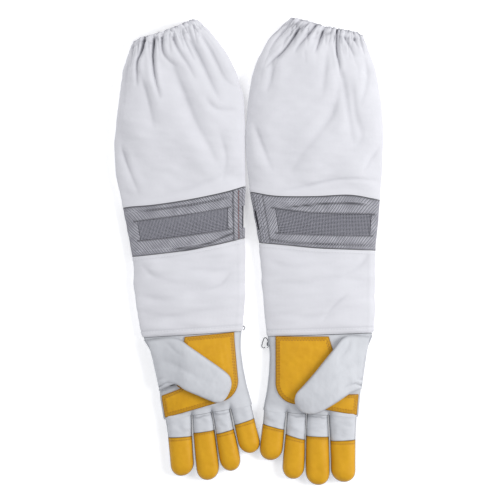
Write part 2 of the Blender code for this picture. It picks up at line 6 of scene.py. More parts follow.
import bpy
import numpy as np
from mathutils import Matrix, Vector
from mathutils.bvhtree import BVHTree
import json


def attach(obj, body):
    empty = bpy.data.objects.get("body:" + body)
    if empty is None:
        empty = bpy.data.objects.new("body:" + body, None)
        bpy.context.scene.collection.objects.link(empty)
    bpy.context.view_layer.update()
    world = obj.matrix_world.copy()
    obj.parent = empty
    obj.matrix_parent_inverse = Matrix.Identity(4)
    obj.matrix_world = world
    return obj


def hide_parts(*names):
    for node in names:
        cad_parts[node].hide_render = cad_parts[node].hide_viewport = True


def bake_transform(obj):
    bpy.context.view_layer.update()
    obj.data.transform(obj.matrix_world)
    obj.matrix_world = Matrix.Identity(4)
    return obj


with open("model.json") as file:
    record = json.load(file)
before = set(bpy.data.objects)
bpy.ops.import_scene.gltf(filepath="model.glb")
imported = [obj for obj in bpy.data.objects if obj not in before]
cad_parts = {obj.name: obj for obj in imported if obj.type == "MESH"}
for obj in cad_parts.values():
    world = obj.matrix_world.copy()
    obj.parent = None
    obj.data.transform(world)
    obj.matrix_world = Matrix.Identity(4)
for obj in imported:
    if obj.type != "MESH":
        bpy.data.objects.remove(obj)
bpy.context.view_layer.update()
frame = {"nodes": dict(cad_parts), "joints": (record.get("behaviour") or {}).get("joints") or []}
joints = {joint["name"]: joint for joint in frame["joints"]}
mm = 0.001
seamShare = 0.42  # height of a side seam, as a share of the thickness
tableGap = 0.1  # no cloth lies lower than this, in millimetres

# Settings that a user would change
gloves = {
    "left": {
        "side": 1, "sleeveLean": 1.9, "handLean": 0.0, "cuff": (86.0, 18.0, 14.5), "gather": 1.0,
        "bow": 2.0,
        "seed": 3, "felled": 1, "armRise": 0.0, "armSlope": 0.0,
        "hemSag": (0.0, 3.5),
        "sway": ((-110, 0, 2.3), (300, 0, 2.3), (325, 2.3, 1.0), (345, 2.3, 0)),
        "bows": (
            (159, ((-90, 0), (-72, -0.5), (-45, -3.3), (0, -0.4), (38, 4.0), (66, 1.5), (90, 0))),
            (101, ((-90, 0), (-40, -1.0), (0, -2.0), (40, -1.0), (90, 0))),
        ),
        "trim": {"index": 0.0, "middle": 0.0, "ring": 0.0, "little": 0.0},
        "tips": {
            "index": (26.0, -169.0), "middle": (-2.8, -172.5), "ring": (-31.0, -165.5),
            "little": (-56.6, -144.0),
        },
        "seamSlant": {"index": -2.6, "middle": 2.6, "ring": 17.0, "little": 16.0},
        "windowEnds": (-45.0, 61.0),
        "windowLow": ((-45, 113.6), (61, 118.0)),
        "windowHigh": ((-45, 144.6), (-28, 142.0), (-6, 139.6), (28, 139.5), (61, 142.0)),
    },
    "right": {
        "side": -1, "sleeveLean": 3.7, "handLean": 5.3, "cuff": (80.0, 10.0, 16.0), "gather": 1.5,
        "bow": -4.6,
        "seed": 8, "felled": -1, "armRise": 1.5, "armSlope": 0.42,
        "hemSag": (3.0, 3.5),
        "sway": (
            (-180, 0, -3.0), (-115, 0, -4.4), (-100, -0.2, -4.8), (-91, 0, -4.6), (-71, 0, -4.8),
            (-56, 0, -6.5),
            (-10, 0, -6.8), (5, -1.0, -4.8), (35, -3.3, -3.4), (65, -4.4, -3.4), (80, -5.0, -5.2),
            (110, -5.0, -5.4),
            (155, -1.5, -4.5), (200, -0.2, -2.8), (246, -0.2, -3.5), (276, -1.6, -4.2), (320, -2.4, -3.6),
            (345, -1.2, -5.8),
        ),
        "bows": (
            (159, ((-90, 0), (-74, -1.0), (-50, -3.9), (-10, -5.2), (35, -4.4), (62, -2.0), (90, 0))),
            (101, ((-90, 0), (-45, -3.2), (0, -4.4), (40, -3.0), (90, 0))),
        ),
        "trim": {"index": 5.5, "middle": 4.5, "ring": 3.0, "little": 0.5},
        "tips": {
            "index": (25.0, -160.5), "middle": (-5.2, -168.0), "ring": (-33.4, -160.0),
            "little": (-58.2, -141.6),
        },
        "seamSlant": {"index": -2.0, "middle": 3.0, "ring": 10.0, "little": 13.0},
        "windowEnds": (-50.0, 56.0),
        "windowLow": ((-50, 114.0), (56, 118.7)),
        "windowHigh": ((-50, 139.4), (0, 139.2), (56, 140.2)),
    },
}
sleeveSizes = {
    "wall": 0.9, "lowerLength": 101.0, "ventLength": 58.0, "upperLength": 196.0, "wristWidth": 120.0,
    "wristThick": 16.0, "ventLowWidth": 131.0, "ventTopWidth": 147.0, "ventThick": 18.0, "ventSlant": 6.0,
    "sleeveWidth": 155.0, "sleeveThick": 27.0, "cuffThick": 22.0, "netWall": 0.8,
}
upperShape = (
    (0.17, 0.98, 0.0, 0.0, 0.3), (0.36, 1.00, 0.0, 0.3, 1.0), (0.53, 0.94, 0.0, 1.0, 1.0),
    (0.67, 0.82, 0.10, 0.9, 0.85), (0.78, 0.69, 0.25, 0.5, 0.65), (0.89, 0.44, 0.50, 0.4, 0.4),
    (1.00, 0.00, 1.00, 0.5, 0.0),
)
handSizes = {
    "leather": 1.2, "length": 91.0, "knuckleSlant": 4.0, "knuckleShift": -10.8, "knuckleThick": 15.5,
}
fingers = {
    "index": {"at": 36.0, "root": 31.4, "seam": 28.2, "full": 27.2, "stall": 27.5},
    "middle": {"at": 7.4, "root": 23.3, "seam": 25.2, "full": 26.4, "stall": 25.0},
    "ring": {"at": -15.7, "root": 21.2, "seam": 21.8, "full": 24.0, "stall": 27.5},
    "little": {"at": -40.0, "root": 25.2, "seam": 24.4, "full": 25.2, "stall": 17.5},
}
thumbSizes = {"thick": 11.0, "clear": 2.6, "rise": 1.6, "root": (-14.0, -62.0), "rootOut": 1.2}
thumbStations = {
    "left": (
        ((28.5, -1.2), (33.5, -66.0), 0.50), ((11.5, -19.0), (19.0, -75.5), 0.95),
        ((-8.0, -43.5), (7.0, -83.0), 1.0),
        ((-20.5, -58.0), (-3.0, -88.3), 0.95), ((-27.0, -65.5), (-11.5, -90.0), 0.85),
        ((-29.2, -73.5), (-19.5, -88.0), 0.62), ((-28.2, -79.5), (-24.5, -84.6), 0.30),
    ),
    "right": (
        ((21.0, -1.2), (27.0, -54.0), 0.50), ((4.0, -13.0), (13.5, -61.5), 0.95),
        ((-16.0, -28.5), (-3.5, -70.0), 1.0),
        ((-31.0, -40.5), (-14.0, -75.5), 0.95), ((-40.0, -49.5), (-22.5, -79.0), 0.85),
        ((-42.3, -57.5), (-30.5, -78.0), 0.62), ((-41.2, -64.0), (-36.0, -73.5), 0.30),
    ),
}
# Folds of the upper sleeve: depth, width, strength at their start (the hem's end), and path
folds = {
    "left": (
        (3.6, 2.4, 1.0, ((-13, 352), (-24, 337), (-34, 325), (-44, 316), (-52, 306))),
        (2.8, 2.2, 1.0, ((6, 356), (-5, 342), (-15, 331), (-20, 322))),
        (3.0, 1.7, 0.9, ((14, 349), (9, 336), (3, 321))),
        (4.2, 1.9, 0.6, ((31, 352), (29, 328), (30, 312), (32, 290))),
        (2.6, 2.2, 0.8, ((39, 341), (45, 329), (49, 317))),
        (2.4, 2.2, 0.8, ((57, 346), (59, 332), (61, 318))),
        (0.5, 2.0, 0.0, ((-8, 327), (-7, 309))),
        (1.8, 5.5, 0.3, ((17, 322), (14, 298), (10, 270))),
        (2.6, 6.0, 0.5, ((33, 296), (37, 268), (41, 234), (43, 214))),
        (2.0, 4.5, 0.3, ((-45, 318), (-46, 298), (-52, 276))),
        (2.4, 7.0, 0.2, ((32, 294), (21, 253), (0, 224), (-15, 206), (-30, 184))),
        (1.8, 6.0, 0.2, ((44, 286), (47, 250), (53, 224), (39, 206))),
        (1.8, 5.0, 0.0, ((-68, 246), (-58, 216), (-48, 188))),
        (1.5, 3.2, 0.2, ((-42, 168), (-11, 171.5), (18, 175), (47, 175), (76, 174))),
        (1.2, 4.0, 0.0, ((76, 214), (64, 199), (53, 182))),
        (1.5, 4.5, 0.2, ((60, 316), (62, 291), (52, 258))),
    ),
    "right": (
        (3.6, 2.4, 1.0, ((33, 343), (37, 328), (42, 314), (44, 286))),
        (4.6, 2.4, 1.0, ((22, 344), (24, 322), (23, 296), (18, 270))),
        (2.6, 2.4, 1.0, ((13, 345), (12, 326), (5, 314), (-4, 306))),
        (2.8, 6.5, 0.3, ((4, 314), (-7, 281), (-23, 239), (-35, 215), (-47, 186))),
        (2.7, 4.0, 0.8, ((-21, 338), (-30, 316), (-42, 285), (-52, 262))),
        (2.0, 3.6, 0.6, ((-36, 343), (-48, 313), (-58, 290), (-72, 279))),
        (1.8, 4.0, 0.0, ((-33, 270), (-47, 256), (-70, 254))),
        (2.2, 2.8, 0.9, ((0, 344), (-6, 327), (-16, 308), (-24, 290))),
        (2.0, 5.0, 0.2, ((40, 302), (33, 272), (27, 236))),
        (1.6, 3.6, 0.0, ((69, 224), (60, 191), (51, 166))),
        (1.6, 2.2, 0.8, ((-13, 342), (-19, 326), (-24, 312))),
        (1.6, 4.0, 0.2, ((49, 326), (57, 297), (62, 266))),
        (1.3, 4.5, 0.2, ((20, 167), (-7, 170), (-32, 176), (-62, 184))),
        (1.5, 5.0, 0.2, ((-50, 226), (-55, 198), (-47, 172))),
    ),
}


# Materials
def linear(code):  # sRGB hex to linear
    channels = [int(code[k : k + 2], 16) / 255 for k in (1, 3, 5)]
    return (*[c / 12.92 if c <= 0.04045 else ((c + 0.055) / 1.055) ** 2.4 for c in channels], 1.0)


def addNode(tree, kind, settings=None, values=None, links=None):
    node = tree.nodes.new(kind)
    for key, value in (settings or {}).items():
        setattr(node, key, value)
    for key, value in (values or {}).items():
        node.inputs[key].default_value = value
    for key, socket in (links or {}).items():
        tree.links.new(socket, node.inputs[key])
    return node


def startMaterial(name, roughness, metallic=0.0, **sockets):
    made = bpy.data.materials.new(name)
    made.use_nodes = True
    shader = made.node_tree.nodes["Principled BSDF"]
    shader.inputs["Roughness"].default_value = roughness
    shader.inputs["Metallic"].default_value = metallic
    for key, value in sockets.items():
        shader.inputs[key].default_value = value
    return made, made.node_tree, shader


def between(tree, share, low, high):
    return addNode(
        tree, "ShaderNodeMix", {"data_type": "RGBA"}, {6: linear(low), 7: linear(high)}, {0: share}
    ).outputs[2]


def shaded(tree, colour, dark, amount):  # painted shade: darker where the piece's shade attribute says
    mark = addNode(tree, "ShaderNodeAttribute", {"attribute_name": "shade"}).outputs["Fac"]
    scaled = addNode(
        tree, "ShaderNodeMath", {"operation": "MULTIPLY", "use_clamp": True}, {1: amount}, {0: mark},
    )
    return addNode(
        tree, "ShaderNodeMix", {"data_type": "RGBA"}, {7: linear(dark)}, {0: scaled.outputs[0], 6: colour}
    ).outputs[2]


def weave(tree, pitch, turn=0.0):  # threads both ways, on the piece's own map in millimetres
    cloth = addNode(tree, "ShaderNodeUVMap", {"uv_map": "cloth"}).outputs[0]
    turned = addNode(
        tree, "ShaderNodeMapping", {}, {"Rotation": (0, 0, math.radians(turn))}, {"Vector": cloth},
    )
    bands = [
        addNode(
            tree, "ShaderNodeTexWave", {"bands_direction": way},
            {"Scale": math.pi / 10 / pitch, "Distortion": 0.6, "Detail": 1.0, "Detail Scale": 2.0},
            {"Vector": turned.outputs[0]},
        ).outputs["Fac"]
        for way in ("X", "Y")
    ]
    return addNode(
        tree, "ShaderNodeMath", {"operation": "MULTIPLY"}, {}, {0: bands[0], 1: bands[1]},
    ).outputs[0]


def speckle(tree, size, detail=3.0):  # cloudy noise whose blotches are size millimetres
    cloth = addNode(tree, "ShaderNodeUVMap", {"uv_map": "cloth"}).outputs[0]
    return addNode(
        tree, "ShaderNodeTexNoise", {}, {"Scale": 1 / size, "Detail": detail}, {"Vector": cloth}
    ).outputs["Fac"]


def raised(tree, shader, height, strength, distance, under=None):
    links = {"Height": height}
    if under is not None:
        links["Normal"] = under
    bump = addNode(tree, "ShaderNodeBump", {}, {"Strength": strength, "Distance": distance * mm}, links)
    tree.links.new(bump.outputs[0], shader.inputs["Normal"])
    return bump.outputs[0]


# Cotton and polyester canvas, matt and soft: a plain weave of 0.5 mm threads, drawn at 1.5 mm to show
def makeCanvas():
    made, tree, shader = startMaterial(
        "whiteCanvasWeave", 0.92, **{"Sheen Weight": 0.25, "Sheen Roughness": 0.6},
    )
    tone = between(tree, speckle(tree, 26, 4), "#CFCFD4", "#DCDCE1")
    # painted shade: the canvas turns towards #6A6A74 in creases, pleat valleys, grooves and along edges,
    # where the shade attribute marks them
    tree.links.new(shaded(tree, tone, "#6A6A74", 0.95), shader.inputs["Base Color"])
    fine = raised(tree, shader, speckle(tree, 3.2, 3), 0.22, 0.5)
    raised(tree, shader, weave(tree, 1.5), 0.25, 0.2, fine)
    return made


# Grain leather, slightly waxy, with pebbles of about a millimetre that catch the light softly
def makeLeather(name, low, high, dark, amount, roughness, pebble):
    made, tree, shader = startMaterial(name, roughness, **{"IOR": 1.45, "Specular IOR Level": 0.35})
    cloth = addNode(tree, "ShaderNodeUVMap", {"uv_map": "cloth"}).outputs[0]
    grain = addNode(
        tree, "ShaderNodeTexVoronoi", {"feature": "SMOOTH_F1"}, {"Scale": 1 / pebble, "Smoothness": 0.6},
        {"Vector": cloth},
    ).outputs["Distance"]
    tone = between(tree, speckle(tree, 17, 5), low, high)
    # painted shade: towards the dark colour where the shade attribute marks creases, sides that turn under
    # and gaps between fingers; on the yellow patch partly its darker cut edge
    tree.links.new(shaded(tree, tone, dark, amount), shader.inputs["Base Color"])
    creased = raised(tree, shader, speckle(tree, 4.5, 4), 0.35, 0.5)
    raised(tree, shader, grain, 0.3, 0.25, creased)
    return made


# Polyester netting laid double: the two layers cross at a small angle and beat into slanting bands,
# drawn wider apart than real ones so that they show
def makeNetting(name, low, high, pitch, turn, dark):
    beatPitch, beatLean = 2.6, 38  # millimetres between the slanting bands, and their lean in degrees
    made, tree, shader = startMaterial(name, 0.8, **{"Sheen Weight": 0.1})
    first, second = weave(tree, pitch, turn), weave(tree, pitch * 1.12, turn + 9)
    both = addNode(tree, "ShaderNodeMath", {"operation": "ADD"}, {}, {0: first, 1: second}).outputs[0]
    cloth = addNode(tree, "ShaderNodeUVMap", {"uv_map": "cloth"}).outputs[0]
    leant = addNode(
        tree, "ShaderNodeMapping", {}, {"Rotation": (0, 0, math.radians(beatLean))}, {"Vector": cloth},
    )
    beat = addNode(
        tree, "ShaderNodeTexWave", {"bands_direction": "X"},
        {"Scale": math.pi / 10 / beatPitch, "Distortion": 11.0, "Detail": 1.0, "Detail Scale": 0.18},
        {"Vector": leant.outputs[0]},
    ).outputs["Fac"]
    fade = addNode(
        tree, "ShaderNodeMapRange", {}, {"From Min": 0.38, "From Max": 0.62, "To Min": 0.6, "To Max": 1.2},
        {"Value": speckle(tree, 16, 2)},
    ).outputs[0]
    summed = addNode(
        tree, "ShaderNodeMath", {"operation": "MULTIPLY_ADD"}, {}, {0: beat, 1: fade, 2: both},
    ).outputs[0]
    ramp = addNode(
        tree, "ShaderNodeMapRange", {}, {"From Min": 0.3, "From Max": 1.8}, {"Value": summed},
    ).outputs[0]
    # painted shade: towards the dark colour at the band's seams, along the folded strips and round the
    # window's rim
    tree.links.new(shaded(tree, between(tree, ramp, low, high), dark, 0.8), shader.inputs["Base Color"])
    raised(tree, shader, both, 0.4, 0.4)
    return made


# Spun polyester sewing thread, twisted, with a slight lustre
def makeThread(name, low, high):
    made, tree, shader = startMaterial(name, 0.55)
    place = addNode(tree, "ShaderNodeTexCoord").outputs["Object"]
    twist = addNode(
        tree, "ShaderNodeTexNoise", {}, {"Scale": 900.0, "Detail": 2.0}, {"Vector": place},
    ).outputs["Fac"]
    tree.links.new(between(tree, twist, low, high), shader.inputs["Base Color"])
    raised(tree, shader, twist, 0.3, 0.1)
    return made


# Bright zinc-plated steel wire, drawn, so lightly streaked
def makeSteel():
    made, tree, shader = startMaterial("zincPlatedSteelWire", 0.28, 1.0)
    place = addNode(tree, "ShaderNodeTexCoord").outputs["Object"]
    streak = addNode(
        tree, "ShaderNodeTexNoise", {}, {"Scale": 700.0, "Detail": 3.0}, {"Vector": place},
    ).outputs["Fac"]
    tree.links.new(between(tree, streak, "#5E6064", "#9EA0A4"), shader.inputs["Base Color"])
    rough = addNode(
        tree, "ShaderNodeMapRange", {}, {"To Min": 0.2, "To Max": 0.42}, {"Value": streak},
    ).outputs[0]
    tree.links.new(rough, shader.inputs["Roughness"])
    return made


canvas = makeCanvas()
# the third colour of each leather is its painted shade
whiteLeather = makeLeather("whiteGoatskin", "#BDBFC4", "#D2D4D8", "#56585F", 0.85, 0.62, 1.3)
yellowLeather = makeLeather("goldCowhide", "#C48C0E", "#E2AC1E", "#704404", 0.85, 0.55, 1.1)
netting = makeNetting("doubledNetting", "#64646C", "#BEBEC5", 1.5, 32, "#1E1E24")
# the lining's netting is painted dark for the shade inside the sleeve
paintedShadeNetting = makeNetting("shadedNetting", "#30303A", "#72727C", 1.5, 8, "#1C1C22")
netThread = makeThread("nettingThread", "#A6A6B0", "#CDCDD5")
whiteThread = makeThread("whiteSewingThread", "#C9CACF", "#F0F0F2")
goldThread = makeThread("goldSewingThread", "#9A640F", "#C48A22")
redThread = makeThread("russetSewingThread", "#6E3A38", "#96605C")
steel = makeSteel()
print("materials made:", len(bpy.data.materials))


# Shapes
def eased(at, table, column, width=7.0):  # a station table's column at places, its corners rounded
    places, values = [row[0] for row in table], [row[column] for row in table]

    def value(t):
        inside = np.interp(t, places, values)
        below = 2 * values[0] - np.interp(2 * places[0] - t, places, values)
        above = 2 * values[-1] - np.interp(2 * places[-1] - t, places, values)
        return np.where(t < places[0], below, np.where(t > places[-1], above, inside))

    at = np.asarray(at, float)
    steps = np.linspace(-1, 1, 9)
    weights = np.exp(-((steps * 1.5) ** 2))
    return sum(w * value(at + s * width) for w, s in zip(weights, steps)) / weights.sum()


def crown(x):
    return np.maximum(0, 1 - np.abs(x) ** 2.4) ** 0.6


def hump(far, width, power=2):  # 1 at the middle, falling away to nothing
    return np.exp(-((far / width) ** power))


def section(v, x, over, half, slant, shift, thick, inset=0.0):  # u, v, z across one or many rings
    half, thick = half - inset, thick - 2 * inset
    seam = seamShare * thick
    low = seam + 1.2
    z = np.where(over, low + (thick - low) * crown(x), (seam - 1.2) * (1 - np.minimum(1, 1.3 * crown(x))))
    angle = np.radians(slant)
    u = shift + half * np.cos(angle) * x
    return np.stack(np.broadcast_arrays(u, v - half * np.sin(angle) * x, z + inset), -1)


def ringSpread(steps, breaks=(-1, 1)):  # x and over for a closed ring, with points at the breaks
    turns = [math.acos(-b) for b in breaks]
    theta = [0.0]
    for low, high in zip(turns, turns[1:]):
        count = max(2, round(steps * (high - low) / math.pi))
        theta += list(np.linspace(low, high, count + 1)[1:])
    x = -np.cos(np.array(theta))
    over = np.array([True] * len(x) + [False] * len(x))
    return np.concatenate([x, x[::-1]]), over


def sleeveTable(glove):
    s = sleeveSizes
    cuffWidth, cuffShift, cuffSlant = glove["cuff"]
    low, top = s["lowerLength"], s["lowerLength"] + s["ventLength"]
    rows = [
        (0, s["wristWidth"] / 2, 0, 0, s["wristThick"]),
        (low * 0.25, (s["wristWidth"] * 0.6 + s["ventLowWidth"] * 0.4) / 2, 0, 0, s["wristThick"] * 1.05),
        (low, s["ventLowWidth"] / 2, s["ventSlant"], 0, s["ventThick"]),
        (top, s["ventTopWidth"] / 2, s["ventSlant"], -1, s["ventThick"]),
    ]
    for along, width, cuff, bow, thick in upperShape:
        slant = s["ventSlant"] + (2 - s["ventSlant"]) * min(1, along * 2)
        rows.append((
            top + along * s["upperLength"],
            (cuffWidth + (s["sleeveWidth"] - cuffWidth) * width ** glove["gather"]) / 2,
            slant + (cuffSlant - slant) * cuff,
            cuffShift * cuff * (1.0 if width == 0 else 0.8) + glove["bow"] * bow,
            s["cuffThick"] + (s["sleeveThick"] - s["cuffThick"]) * thick,
        ))
    return rows


def sleeveSection(glove, v, x, over, inset=0.0, width=7.0):
    table = sleeveTable(glove)
    half, slant, shift, thick = (eased(v, table, k, width) for k in (1, 2, 3, 4))
    return section(v, x, over, half, slant, shift, thick, inset)


def handTable(turn):
    length, shift = handSizes["length"], handSizes["knuckleShift"]
    return [
        (-length, 53.0, 4.0, shift, handSizes["knuckleThick"]),
        (-length * 0.72, 51.75, 2.0, shift * 0.69, 18.5),
        (-length * 0.48, 51.75, 0.0, shift * 0.48, 18.5),
        (-length * 0.24, 52.8, 0.0, shift * 0.30, 17.9),
        (0.0, 58.6, turn, 0.0, 16.0),
    ]


def handTop(u, v):  # height of the palm over points of the hand
    table = handTable(0)
    v = np.clip(v, -handSizes["length"], 0)
    level = v
    for _ in range(2):
        half, slant, shift = (eased(level, table, k) for k in (1, 2, 3))
        level = np.clip(v + np.tan(np.radians(slant)) * (u - shift), -handSizes["length"], 0)
    half, slant, shift, thick = (eased(level, table, k) for k in (1, 2, 3, 4))
    x = np.clip((u - shift) / (half * np.cos(np.radians(slant))), -1, 1)
    low = seamShare * thick + 1.2
    return low + (thick - low) * crown(x)


def handEdge(v):  # u of the hand's edge on the thumb's side
    table = handTable(0)
    return float(eased(v, table, 3) + eased(v, table, 1) * np.cos(np.radians(eased(v, table, 2))))


def placed(side, points, lean):
    glove = gloves[side]
    turn = math.radians(glove[lean])
    origin = joints[f"{side}_wrist"]["pos_m"]
    u, v = points[..., 0], points[..., 1]
    for level, heights in glove["bows"]:
        heights = smoothPath(heights)
        v = v + np.interp(u, heights[:, 0], heights[:, 1]) * hump(v - level, 20)
    places, inner, outer = zip(*glove["sway"])
    share = np.clip((u + 55) / 110, -0.1, 1.1)
    u = u + np.interp(v, places, inner) * (1 - share) + np.interp(v, places, outer) * share
    u = u * glove["side"]
    x = origin[0] + (u * math.cos(turn) - v * math.sin(turn)) * mm
    y = origin[1] + (u * math.sin(turn) + v * math.cos(turn)) * mm
    return np.stack([x, y, points[..., 2] * mm], -1)


def wander(u, v, size, seed):  # smooth seeded wave between about -1 and 1
    source = np.random.default_rng(seed)
    total = 0.0
    for _ in range(18):
        turn = source.uniform(0, math.pi)
        phase = source.uniform(0, 6.28)
        stretch = 2 ** source.uniform(-0.8, 1.3)
        bent = 0.5 * np.sin(v * 2.9 / size + phase)
        total = (
            total + math.sqrt(stretch)
            * np.sin((u * math.cos(turn) + v * math.sin(turn)) * 6.28 / (size * stretch) + phase + bent)
        )
    return total / 6.0


def smoothPath(points, steps=6):  # Catmull-Rom through the points
    points = np.array([points[0], *points, points[-1]], float)
    found = []
    for a, b, c, d in zip(points, points[1:], points[2:], points[3:]):
        for t in np.linspace(0, 1, steps, endpoint=False):
            found.append(0.5 * (
                2 * b + (c - a) * t + (2 * a - 5 * b + 4 * c - d) * t**2 + (3 * b - a - 3 * c + d) * t**3
            ))
    return np.array([*found, points[-1]])


def reachAlong(path):  # distance along a path at each of its points
    return np.concatenate([[0], np.cumsum(np.linalg.norm(np.diff(path, axis=0), axis=1))])


def nearPath(u, v, path):  # distance to a path, side of it and share along it
    best = np.full(np.shape(u), 1e9)
    hand, along = np.zeros(np.shape(u)), np.zeros(np.shape(u))
    lengths = np.linalg.norm(np.diff(path, axis=0), axis=1)
    start = np.concatenate([[0], np.cumsum(lengths)])
    for k, (a, b) in enumerate(zip(path, path[1:])):
        du, dv = b - a
        t = np.clip(((u - a[0]) * du + (v - a[1]) * dv) / max(1e-9, du * du + dv * dv), 0, 1)
        distance = np.hypot(u - a[0] - t * du, v - a[1] - t * dv)
        closer = distance < best
        best = np.where(closer, distance, best)
        hand = np.where(closer, np.sign((u - a[0]) * dv - (v - a[1]) * du), hand)
        along = np.where(closer, (start[k] + t * lengths[k]) / start[-1], along)
    return best, hand, along


def creased(u, v, folded):  # height of valleys with a soft lip on each side, and the painted shade in them, from their depth as a share
    height, dark = np.zeros(np.shape(u)), np.zeros(np.shape(u))
    for depth, width, first, path in folded:
        distance, hand, along = nearPath(u, v, smoothPath(path))
        strength = np.minimum(1, first + (1 - first) * along / 0.3) * (1 - along) ** 0.6
        e = distance * hand
        groove = 0.55 * hump(distance, 0.5 * width) + 0.5 * hump(distance, 1.5 * width)
        lips = 0.40 * hump(e - 1.7 * width, 1.2 * width) + 0.30 * hump(e + 2.0 * width, 1.5 * width)
        height += depth * (1.35 if width > 2.9 else 1.1) * strength * (lips - groove)
        dark = np.maximum(
            dark, strength * min(1, depth / 3.4) * min(1, (2.4 / width) ** 1.5)
            * np.exp(-((distance / width * 1.9) ** 2)),
        )
    return height, dark


def normals(points, closed=False):
    across = np.roll(points, -1, 1) - np.roll(points, 1, 1) if closed else np.gradient(points, axis=1)
    found = np.cross(across, np.gradient(points, axis=0))
    found /= np.maximum(1e-12, np.linalg.norm(found, axis=-1, keepdims=True))
    if closed:
        outward = (found * (points - points.mean(1, keepdims=True))).sum()
        return found if outward > 0 else -found
    return found


def towards(found, up):
    return found if (found[..., 2].sum() > 0) == (up > 0) else -found


def pushed(points, amount, closed=False, up=1):  # moved out along the normals by millimetres
    out = normals(points, closed) if closed else towards(normals(points), up)
    return points + out * amount[..., None] * mm


def linked(name, data):  # a new object in the scene
    made = bpy.data.objects.new(name, data)
    bpy.context.scene.collection.objects.link(made)
    return made


def picked(made):  # the only piece selected, and the active one
    bpy.ops.object.select_all(action="DESELECT")
    bpy.context.view_layer.objects.active = made
    made.select_set(True)


def loft(name, points, finish, closed=False, up=1, wall=0.0, shade=None, keep=None):
    rows, cols = points.shape[:2]
    index = np.arange(rows * cols).reshape(rows, cols)
    span = np.linalg.norm(np.diff(points, axis=1, append=points[:, :1]), axis=-1) / mm
    reach = np.concatenate([np.zeros((rows, 1)), np.cumsum(span, axis=1)], axis=1)
    reach -= reach[:, cols // (4 if closed else 2)][:, None]
    middle = points[:, cols // (4 if closed else 2)]
    rise = reachAlong(middle) / mm
    last = cols if closed else cols - 1
    j = np.arange(last)
    i = np.arange(rows - 1)[:, None]
    n = (j + 1) % cols
    corners = np.stack([index[i, j], index[i, n], index[i + 1, n], index[i + 1, j]], -1)
    mapU = np.stack([reach[i, j], reach[i, j + 1], reach[i + 1, j + 1], reach[i + 1, j]], -1)
    mapV = np.broadcast_to(
        np.stack([rise[:-1], rise[:-1], rise[1:], rise[1:]], -1)[:, None, :], mapU.shape
    )
    flat = points.reshape(-1, 3)
    across = np.roll(points, -1, 1) - np.roll(points, 1, 1) if closed else np.gradient(points, axis=1)
    raw = np.cross(across, np.gradient(points, axis=0))
    if closed:
        turned = (raw * (points - points.mean(1, keepdims=True))).sum() < 0
    else:
        turned = (raw[..., 2].sum() > 0) != (up > 0)
    if keep is not None:
        corners, mapU, mapV = corners[keep], mapU[keep], mapV[keep]
    corners, mapU, mapV = (a.reshape(-1, 4) for a in (corners, mapU, mapV))
    if turned:
        corners, mapU, mapV = corners[:, ::-1], mapU[:, ::-1], mapV[:, ::-1]
    used, faces = np.unique(corners, return_inverse=True)
    faces = faces.reshape(-1, 4)
    mesh = bpy.data.meshes.new(name)
    mesh.from_pydata(flat[used].tolist(), [], faces.tolist())
    layer = mesh.uv_layers.new(name="cloth")
    layer.data.foreach_set("uv", np.stack([mapU, mapV], -1).astype(np.float32).ravel())
    # the shade attribute carries painted shade, which the materials mix into the colour
    paintedShade = np.zeros(len(used)) if shade is None else np.clip(shade.reshape(-1)[used], 0, 1)
    mesh.attributes.new("shade", "FLOAT", "POINT").data.foreach_set("value", paintedShade.astype(np.float32))
    mesh.materials.append(finish)
    made = linked(name, mesh)
    if wall:
        modifier = made.modifiers.new("wall", "SOLIDIFY")
        modifier.thickness = wall * mm
        modifier.offset = -1
    return finished(made)


def finished(made, angle=50):
    picked(made)
    for modifier in list(made.modifiers):
        bpy.ops.object.modifier_apply(modifier=modifier.name)
    bpy.ops.object.shade_smooth_by_angle(angle=math.radians(angle))
    made.select_set(False)
    return made


def inOutline(u, v, outline):
    inside = np.zeros(np.shape(u), bool)
    for (au, av), (bu, bv) in zip(outline, np.roll(outline, -1, axis=0)):
        crossing = (av > v) != (bv > v)
        where = au + (v - av) * (bu - au) / (bv - av if bv != av else 1e-9)
        inside ^= crossing & (u < where)
    return inside


def snapped(u, v, outline, cells):  # border points of the kept cells, moved onto the outline
    rows, cols = u.shape
    kept = np.zeros((rows + 1, cols + 1), int)
    kept[1:-1, 1:-1] = cells
    around = kept[1:, 1:] + kept[:-1, 1:] + kept[1:, :-1] + kept[:-1, :-1]
    border = (around > 0) & (around < 4)
    closed = np.array([*outline, outline[0]])
    for i, j in zip(*np.nonzero(border)):
        best, place = 1e9, None
        for a, b in zip(closed, closed[1:]):
            d = b - a
            t = min(1, max(0, ((u[i, j] - a[0]) * d[0] + (v[i, j] - a[1]) * d[1]) / max(1e-9, d @ d)))
            q = a + t * d
            far = math.hypot(u[i, j] - q[0], v[i, j] - q[1])
            if far < best:
                best, place = far, q
        if best < 1.6:
            u[i, j], v[i, j] = place
    return u, v


def tube(name, path, radius, finish, closed=False, sides=8):  # a round cord along points in metres
    path = np.array(path)
    if closed:
        along = np.roll(path, -1, 0) - np.roll(path, 1, 0)
    else:
        along = np.gradient(path, axis=0)
    along /= np.linalg.norm(along, axis=1, keepdims=True)
    aside = np.cross(along, (0, 0, 1))
    aside /= np.maximum(1e-9, np.linalg.norm(aside, axis=1, keepdims=True))
    above = np.cross(aside, along)
    turns = np.linspace(0, 2 * math.pi, sides, endpoint=False)[None, :, None]
    points = path[:, None] + (aside[:, None] * np.cos(turns) + above[:, None] * np.sin(turns)) * radius * mm
    if closed:
        points = np.concatenate([points, points[:1]])
    else:
        points = np.concatenate(
            [path[:1, None] + 0 * points[:1], points, path[-1:, None] + 0 * points[-1:]]
        )
    made = loft(name, points, finish, closed=True)
    return merged(made)


